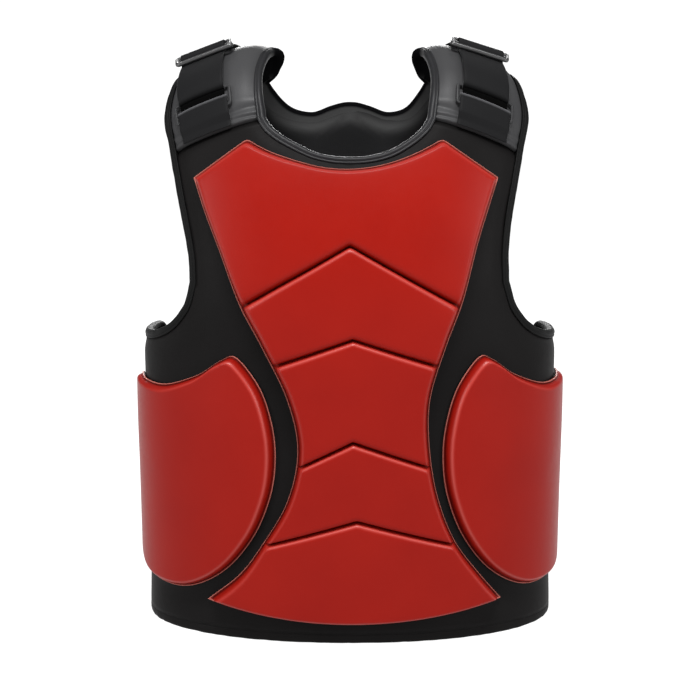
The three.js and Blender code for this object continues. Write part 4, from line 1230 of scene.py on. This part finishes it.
# %% Bindings
arm_rows = tape_section(TAPE_LEG, TAPE_LEG, 0)
neck_rows = tape_section(NECK_LEG, NECK_ROLL, 1)
hem_rows = tape_section(HEM_LEG, HEM_LEG, 0)
hem_nodes = [f"hem_binding_{side_name}" for side_name in SIDES]
bound_edges = {
    "neck_binding": (neck_stations(), neck_rows, edge_tape, ["neck_binding"]),
    # The arms' tape is the darker copy, as painted shade.
    "arm_binding_left": (arm_stations(1), arm_rows, shaded_tape, ["arm_binding_left"]),
    "arm_binding_right": (arm_stations(-1), arm_rows, shaded_tape, ["arm_binding_right"]),
    "hem_binding": (hem_stations(), hem_rows, black_leather, hem_nodes),
}
for name, ((points, normals), rows, material, nodes) in bound_edges.items():
    bm = sweep_ring(points, normals, rows, 1 * (name == "neck_binding"))
    piece_from(bm, name, material, "edge_tape", *nodes)

# %% [markdown]
# Straps. Each strap comes from under a sewn flap, bows a little off the shoulder, threads under, over
# and under the bars of its slide buckle, and runs down to the back seam. Its middle line is drawn in
# the plane of the strap, by distance along the shoulder from the buckle and by lift above the pad. A
# flat strap needs no cloth solver.

# %% Strap pattern
STRAP = {"width": 48, "thickness": 2.2}
STRAP_CENTRES = {  # shares of the pad's width, from the neck to the arm
    "left": {"front": 0.5, "buckle": 0.575, "back": 0.565},
    "right": {"front": 0.546, "buckle": 0.675, "back": 0.60},
}
STRAIGHT_NEAR_BUCKLE = (22, 46)  # mm over which the webbing passes from straight across to the pad's curve
FLAP = {"width": 54, "thickness": 2, "seam_margin": 1, "ramp": 7, "gap": 0.3}
# The buckle lies at a share of the way along the shoulder from the front seam. The rest is in mm.
BUCKLE = {"along": 0.47, "length": 63, "width": 24, "bar": 4.5, "middle_bar": 3.5, "lift": 6.8}
WEBBING_CLEARANCE = 0.8  # mm between the pad and the webbing
STRAP_TUCK = 16  # mm of the strap under the flap
STRAP_FRONT = 60  # mm from the buckle's front bar to the flap
STRAP_BACK_MARGIN = 2  # mm from the strap's end to the back seam
STRAP_FALL = 30  # mm over which the strap comes down behind the buckle
SLACK = {"gap": 8, "bulge": 12, "ease": 18, "lean": 1.5}  # mm, the bow between the flap and the buckle
SHADED = (6, 11)  # mm from the flap over which the strap passes from painted shade to its own colour
# The flap's turned edge also gets a painted highlight.
FLAP_HEM = {"thick": 0.5, "reach": 1.4, "rubbed": (0.6, 1.8)}  # the flap's free edge is turned under
THREAD_DEPTH = 4.5  # mm from the buckle's plane to the webbing's middle under or over a bar
THREAD_STEPS = 40
BEZIER_STEPS = 24
TURN = 0.03  # share of the shoulder, each way from the buckle, over which its curve is measured

BAR_OFFSET = (BUCKLE["width"] - BUCKLE["bar"]) / 2
FLAP_HEAD = -BAR_OFFSET - STRAP_FRONT
STRAP_LIFT = WEBBING_CLEARANCE + STRAP["thickness"] / 2
beside = BUCKLE["along"] + np.array([-TURN, TURN])
turned = shoulder_normal(beside, np.full(2, STRAP_CENTRES["left"]["buckle"]))
SHOULDER_RADIUS = 2 * TURN * SHOULDER_LENGTH / np.arccos(turned[0] @ turned[1])


def strap_centre(centres, along):
    before = lerp(centres["front"], centres["buckle"], ease(along, 0, BUCKLE["along"]))
    after = lerp(centres["buckle"], centres["back"], ease(along, BUCKLE["along"], 1))
    return np.where(along < BUCKLE["along"], before, after)


def across_strap(along, centre):
    step = 0.01
    return unit(shoulder_surface(along, centre + step) - shoulder_surface(along, centre - step))


def strap_point(centres, distance, aside, lift):
    """Points of a strap, aside mm from its middle towards the arm."""
    along = BUCKLE["along"] + distance / SHOULDER_LENGTH
    centre = strap_centre(centres, along)
    neck_side, arm_side = shoulder_surface(along, 0 * along), shoulder_surface(along, 0 * along + 1)
    pad_width = np.linalg.norm(neck_side - arm_side, axis=1)
    straight = shoulder_point(along, centre, lift) + across_strap(along, centre) * aside[:, None]
    on_pad = shoulder_point(along, centre + aside / pad_width, lift)
    return lerp(straight, on_pad, ease(np.abs(distance), *STRAIGHT_NEAR_BUCKLE)[:, None])


def bezier(corners):
    t = np.linspace(0, 1, BEZIER_STEPS)[:, None]
    weights = np.hstack([(1 - t) ** 3, 3 * t * (1 - t) ** 2, 3 * t**2 * (1 - t), t**3])
    return weights @ np.array(corners)


def beside_buckle(ahead, out):
    """The strap's distance and lift at a place in the buckle's own straight frame."""
    far = SHOULDER_RADIUS + out
    distance = SHOULDER_RADIUS * np.arctan2(ahead, far)
    return np.stack([distance, np.hypot(ahead, far) - SHOULDER_RADIUS], axis=-1)


def strap_line():
    """A strap's middle line as distance and lift, from under the flap to the back seam."""
    under_bar = BUCKLE["lift"] - THREAD_DEPTH
    front_bar = beside_buckle(-BAR_OFFSET, under_bar)
    rear_bar = beside_buckle(BAR_OFFSET, under_bar)
    mouth = FLAP_HEAD + SLACK["gap"]
    bow = bezier([
        (mouth, STRAP_LIFT),
        (mouth, SLACK["bulge"]),
        (front_bar[0] - SLACK["ease"], front_bar[1] + SLACK["lean"]),
        front_bar,
    ])
    share = np.linspace(-1, 1, THREAD_STEPS)[1:-1]
    thread = beside_buckle(share * BAR_OFFSET, BUCKLE["lift"] + THREAD_DEPTH * np.cos(math.pi * share))
    half_fall = rear_bar[0] + STRAP_FALL / 2
    landing = (rear_bar[0] + STRAP_FALL, STRAP_LIFT)
    fall = bezier([rear_bar, (half_fall, rear_bar[1]), (half_fall, STRAP_LIFT), landing])
    start = (FLAP_HEAD - STRAP_TUCK, STRAP_LIFT)
    end = (SHOULDER_LENGTH * (1 - BUCKLE["along"]) - STRAP_BACK_MARGIN, STRAP_LIFT)
    return np.vstack([start, bow, thread, fall, end])


def flap_line():
    """The flap's middle line: from the front seam up the pad, and then over the end of the strap."""
    low = WEBBING_CLEARANCE + FLAP["thickness"] / 2
    high = low + STRAP["thickness"] + FLAP["gap"]
    step = FLAP_HEAD - STRAP_TUCK
    foot = -BUCKLE["along"] * SHOULDER_LENGTH + FLAP["seam_margin"]
    return np.array([(foot, low), (step - FLAP["ramp"], low), (step, high), (FLAP_HEAD, high)])


middle_lines = {"strap": strap_line(), "flap": flap_line()}
print("drawn lengths in mm:", {name: round(length_of(line)) for name, line in middle_lines.items()})

# %% Ribbons
RIBBON_STEP = 1.2  # mm
RIBBON_ACROSS = 22  # steps across each face
RIBBON_ROUND = 0.6  # share of the half thickness that is rounded off
SHARP = math.radians(50)  # edges that turn more stay sharp


def ribbon_section(thickness, width):
    """Rounded section of a ribbon: the places aside and off its middle, in a closed loop."""
    half = thickness / 2
    flat = width / 2 - half * RIBBON_ROUND
    upright = half * (1 - RIBBON_ROUND)
    top = np.column_stack([np.linspace(-flat, flat, RIBBON_ACROSS), np.full(RIBBON_ACROSS, half)])
    side = np.array([(width / 2, upright), (width / 2, -upright)])
    return np.vstack([top, side, top[::-1] * (1, -1), side[::-1] * (-1, 1)])


def close_ends(bm, name, material, slot, *nodes):
    """Sews a ribbon or a bar, closes its ends, and makes the piece with its sharp edges kept."""
    sew(bm)
    bmesh.ops.holes_fill(bm, edges=[edge for edge in bm.edges if edge.is_boundary])
    bmesh.ops.recalc_face_normals(bm, faces=bm.faces)
    piece = piece_from(bm, name, material, slot, *nodes)
    piece.data.set_sharp_from_angle(angle=SHARP)


def ribbon(name, side_name, line, thickness, width, end_hem=0):
    count = max(2, int(length_of(line) / RIBBON_STEP))
    middle = evenly(line, np.linspace(0, 1, count + 1))
    direction = unit(np.gradient(middle, axis=0))
    off = np.column_stack([-direction[:, 1], direction[:, 0]])
    section = ribbon_section(thickness, width)
    sides = len(section)
    centres = STRAP_CENTRES[side_name]

    def place(u, v):
        station = np.rint(u * count).astype(int)
        corner = section[np.rint(v * sides).astype(int) % sides]
        from_end = length_of(line) * (1 - u)
        hem = 1 + end_hem * np.exp(-(((from_end - FLAP_HEM["reach"]) / FLAP_HEM["reach"]) ** 2))
        at = middle[station] + off[station] * corner[:, 1:] * hem[:, None]
        placed = strap_point(centres, at[:, 0], corner[:, 0], at[:, 1]) * (SIDES[side_name], 1, 1)
        # The flap's end gets a painted highlight, and the strap painted shade where it dips under the flap.
        if end_hem:
            return placed, {"rim": 1 - ease(from_end, *FLAP_HEM["rubbed"])}
        return placed, {"shade": 1 - ease(at[:, 0] - FLAP_HEAD, *SHADED)}

    bm = bmesh.new()
    uv = lay(bm, count, sides, place)
    size = Vector((length_of(line), 2 * (width + thickness))) * MM
    for face in bm.faces:
        for loop in face.loops:
            loop[uv].uv = loop[uv].uv * size
    close_ends(bm, name, webbing, "webbing", name)


for side_name in SIDES:
    strap_size = STRAP["thickness"], STRAP["width"]
    flap_size = FLAP["thickness"], FLAP["width"], FLAP_HEM["thick"]
    ribbon(f"strap_{side_name}", side_name, strap_line(), *strap_size)
    ribbon(f"strap_flap_{side_name}", side_name, flap_line(), *flap_size)

# %% [markdown]
# The slide buckles are enamelled steel: a rounded oblong of bar with a thinner bar across its middle.
# The bar's section is a square with well-rounded corners. A buckle lies across its strap on top of the
# shoulder.

# %% Buckles
LOOP_CORNER = 2.6  # mm, radius of the bar's middle line in the corners
CORNER_STEPS = 8
BAR_SIDES = 20
BAR_POWER = 2.5  # 2 would be round, and more is squarer


def loop_line():
    """The middle line of the outer bar in its own plane, as a rectangle with round corners."""
    half_length = (BUCKLE["length"] - BUCKLE["bar"]) / 2 - LOOP_CORNER
    half_width = BAR_OFFSET - LOOP_CORNER
    rows = []
    for quarter, (x, y) in enumerate([(1, 1), (-1, 1), (-1, -1), (1, -1)]):
        turn = np.linspace(quarter, quarter + 1, CORNER_STEPS) * math.pi / 2
        rows.append(np.column_stack([
            x * half_length + LOOP_CORNER * np.cos(turn),
            y * half_width + LOOP_CORNER * np.sin(turn),
        ]))
    return np.vstack(rows)


def bar_section(width):
    turn = np.linspace(0, 2 * math.pi, BAR_SIDES, endpoint=False)
    rounded = np.column_stack([np.cos(turn), np.sin(turn)])
    return np.sign(rounded) * np.abs(rounded) ** (2 / BAR_POWER) * width / 2


def lay_bar(bm, points, past, out, width):
    """Adds a bar along points. past and out give the directions of its section at each point."""
    section = bar_section(width)
    last = len(points) - 1

    def place(u, v):
        station = np.rint(u * last).astype(int)
        corner = section[np.rint(v * BAR_SIDES).astype(int) % BAR_SIDES]
        return points[station] + past[station] * corner[:, :1] + out * corner[:, 1:], {}

    lay(bm, last, BAR_SIDES, place)


def buckle(side_name):
    centres = STRAP_CENTRES[side_name]
    along, centre = np.array([BUCKLE["along"]]), np.array([centres["buckle"]])
    mirror = np.array([SIDES[side_name], 1, 1])
    out = shoulder_normal(along, centre)[0]
    back = unit(np.cross(out, across_strap(along, centre)[0]))
    axes = np.array([np.cross(back, out), back]) * mirror
    middle = strap_point(centres, np.zeros(1), np.zeros(1), np.full(1, BUCKLE["lift"]))[0] * mirror
    out = out * mirror

    bm = bmesh.new()
    loop = loop_line()
    ahead = unit(np.roll(loop, -1, axis=0) - np.roll(loop, 1, axis=0))
    past = np.column_stack([ahead[:, 1], -ahead[:, 0]])
    closed = np.vstack([loop, loop[:1]])
    lay_bar(bm, middle + closed @ axes, np.vstack([past, past[:1]]) @ axes, out, BUCKLE["bar"])
    half = (BUCKLE["length"] - BUCKLE["bar"]) / 2
    crossbar = np.array([(-half, 0), (half, 0)])
    lay_bar(bm, middle + crossbar @ axes, np.repeat(axes[1:], 2, axis=0), out, BUCKLE["middle_bar"])
    name = f"buckle_{side_name}"
    close_ends(bm, name, enamel, "buckle_metal", name)


for side_name in SIDES:
    buckle(side_name)

# %% [markdown]
# Each flap is folded round a flat steel ring. The webbing hides the ring except for its two ends, which
# stick out beside the flap's upper corners, so only those are made.

# %% Ring ends
RING = {"aside": 29.4, "half": 6.2, "bar": 3.2, "corner": 2.4, "hidden": 24.8, "lift": 3.2}  # mm


def ring_end():
    """The middle line of one end of a ring, as places aside of the strap's middle and along the strap."""
    turn = np.linspace(0, math.pi / 2, CORNER_STEPS)
    upper = np.column_stack([np.cos(turn), np.sin(turn)]) * RING["corner"]
    upper = upper + (RING["aside"] - RING["corner"], RING["half"])
    upper = np.vstack([upper, (RING["hidden"], RING["half"] + RING["corner"])])
    return np.vstack([upper[::-1] * (1, -1), upper])


def ring_ends(side_name):
    centres = STRAP_CENTRES[side_name]
    mirror = np.array([SIDES[side_name], 1, 1])
    along = np.array([BUCKLE["along"] + FLAP_HEAD / SHOULDER_LENGTH])
    out = shoulder_normal(along, strap_centre(centres, along))[0] * mirror
    bm = bmesh.new()
    for edge in (-1, 1):
        aside, ahead = ring_end().T
        lift = RING["lift"] + 0 * aside
        points = strap_point(centres, FLAP_HEAD + ahead, edge * aside, lift) * mirror
        past = unit(np.cross(np.gradient(points, axis=0), out))
        lay_bar(bm, points, past, out, RING["bar"])
    close_ends(bm, f"ring_ends_{side_name}", ring_steel, "buckle_metal")


for side_name in SIDES:
    ring_ends(side_name)

# %% [markdown]
# Stage: a pale floor that glows like a light table, under a dim dome that is white at the horizon,
# where it is the backdrop. Leather shows its shape in the light that grazes it, so the key light stands
# high in front and draws the upper edges of the pads, two strips at the sides draw their flanks, and
# the front itself stays soft. A dim lamp behind lights the back.

# %% Floor and light
FLOOR_SIZE = 30  # m
FLOOR_GLOW = 0.98
floor_material = plain_material("pale floor", "#707070", "#6c6c6c", roughness=0.9, specular=0, spot=900)
floor_shader = floor_material.node_tree.nodes["Principled BSDF"]
floor_shader.inputs["Emission Color"].default_value = linear("#ffffff")
floor_shader.inputs["Emission Strength"].default_value = FLOOR_GLOW
bm = bmesh.new()
bmesh.ops.create_grid(bm, x_segments=4, y_segments=4, size=FLOOR_SIZE / 2)
floor_mesh = bpy.data.meshes.new("floor")
bm.to_mesh(floor_mesh)
bm.free()
floor_mesh.materials.append(floor_material)
floor = bpy.data.objects.new("floor", floor_mesh)
bpy.context.scene.collection.objects.link(floor)

SOFT_LIGHTS = {
    "name": ["key", "left", "right", "back"],  # places and sizes are in metres
    "place": [(0, -1.7, 3.6), (-1.55, -1.25, 0.9), (1.55, -1.25, 0.9), (0, 2.4, 1.3)],
    "size": [(1.8, 0.4), (0.25, 1.0), (0.25, 1.0), (1.6, 0.5)],
    "watts": [198, 22, 22, 45],
}
AIM = Vector((0, 0, 0.32))  # the middle of the guard
for name, light_place, size, watts in zip(*SOFT_LIGHTS.values()):
    lamp = bpy.data.lights.new(name, "AREA")
    lamp.shape = "RECTANGLE"
    lamp.size, lamp.size_y = size
    lamp.energy = watts
    light = bpy.data.objects.new(name, lamp)
    light.location = light_place
    light.rotation_euler = (AIM - light.location).to_track_quat("-Z", "Y").to_euler()
    bpy.context.scene.collection.objects.link(light)

DOME_STRENGTH = 1.55
DOME = {
    "rise": [0, 0.1, 0.2, 0.35, 0.9],  # sine of the elevation
    "share": [0.72, 0.72, 0.04, 0.06, 0.4],
}
world = bpy.data.worlds.new("surround")
world.use_nodes = True
bpy.context.scene.world = world
sky = world.node_tree
direction = add(sky, "ShaderNodeTexCoord").outputs["Generated"]
rise = add(sky, "ShaderNodeSeparateXYZ", {"Vector": direction}).outputs["Z"]
dome = add(sky, "ShaderNodeValToRGB", {"Fac": rise})
for stop, (place, share) in enumerate(zip(*DOME.values())):
    point = dome.color_ramp.elements[stop] if stop < 2 else dome.color_ramp.elements.new(place)
    point.position = place
    point.color = (share, share, share, 1)
sky.links.new(dome.outputs["Color"], sky.nodes["Background"].inputs["Color"])
sky.nodes["Background"].inputs["Strength"].default_value = DOME_STRENGTH
bpy.context.scene.view_settings.view_transform = "Standard"
print("lights:", len(SOFT_LIGHTS["name"]), "watts:", sum(SOFT_LIGHTS["watts"]))
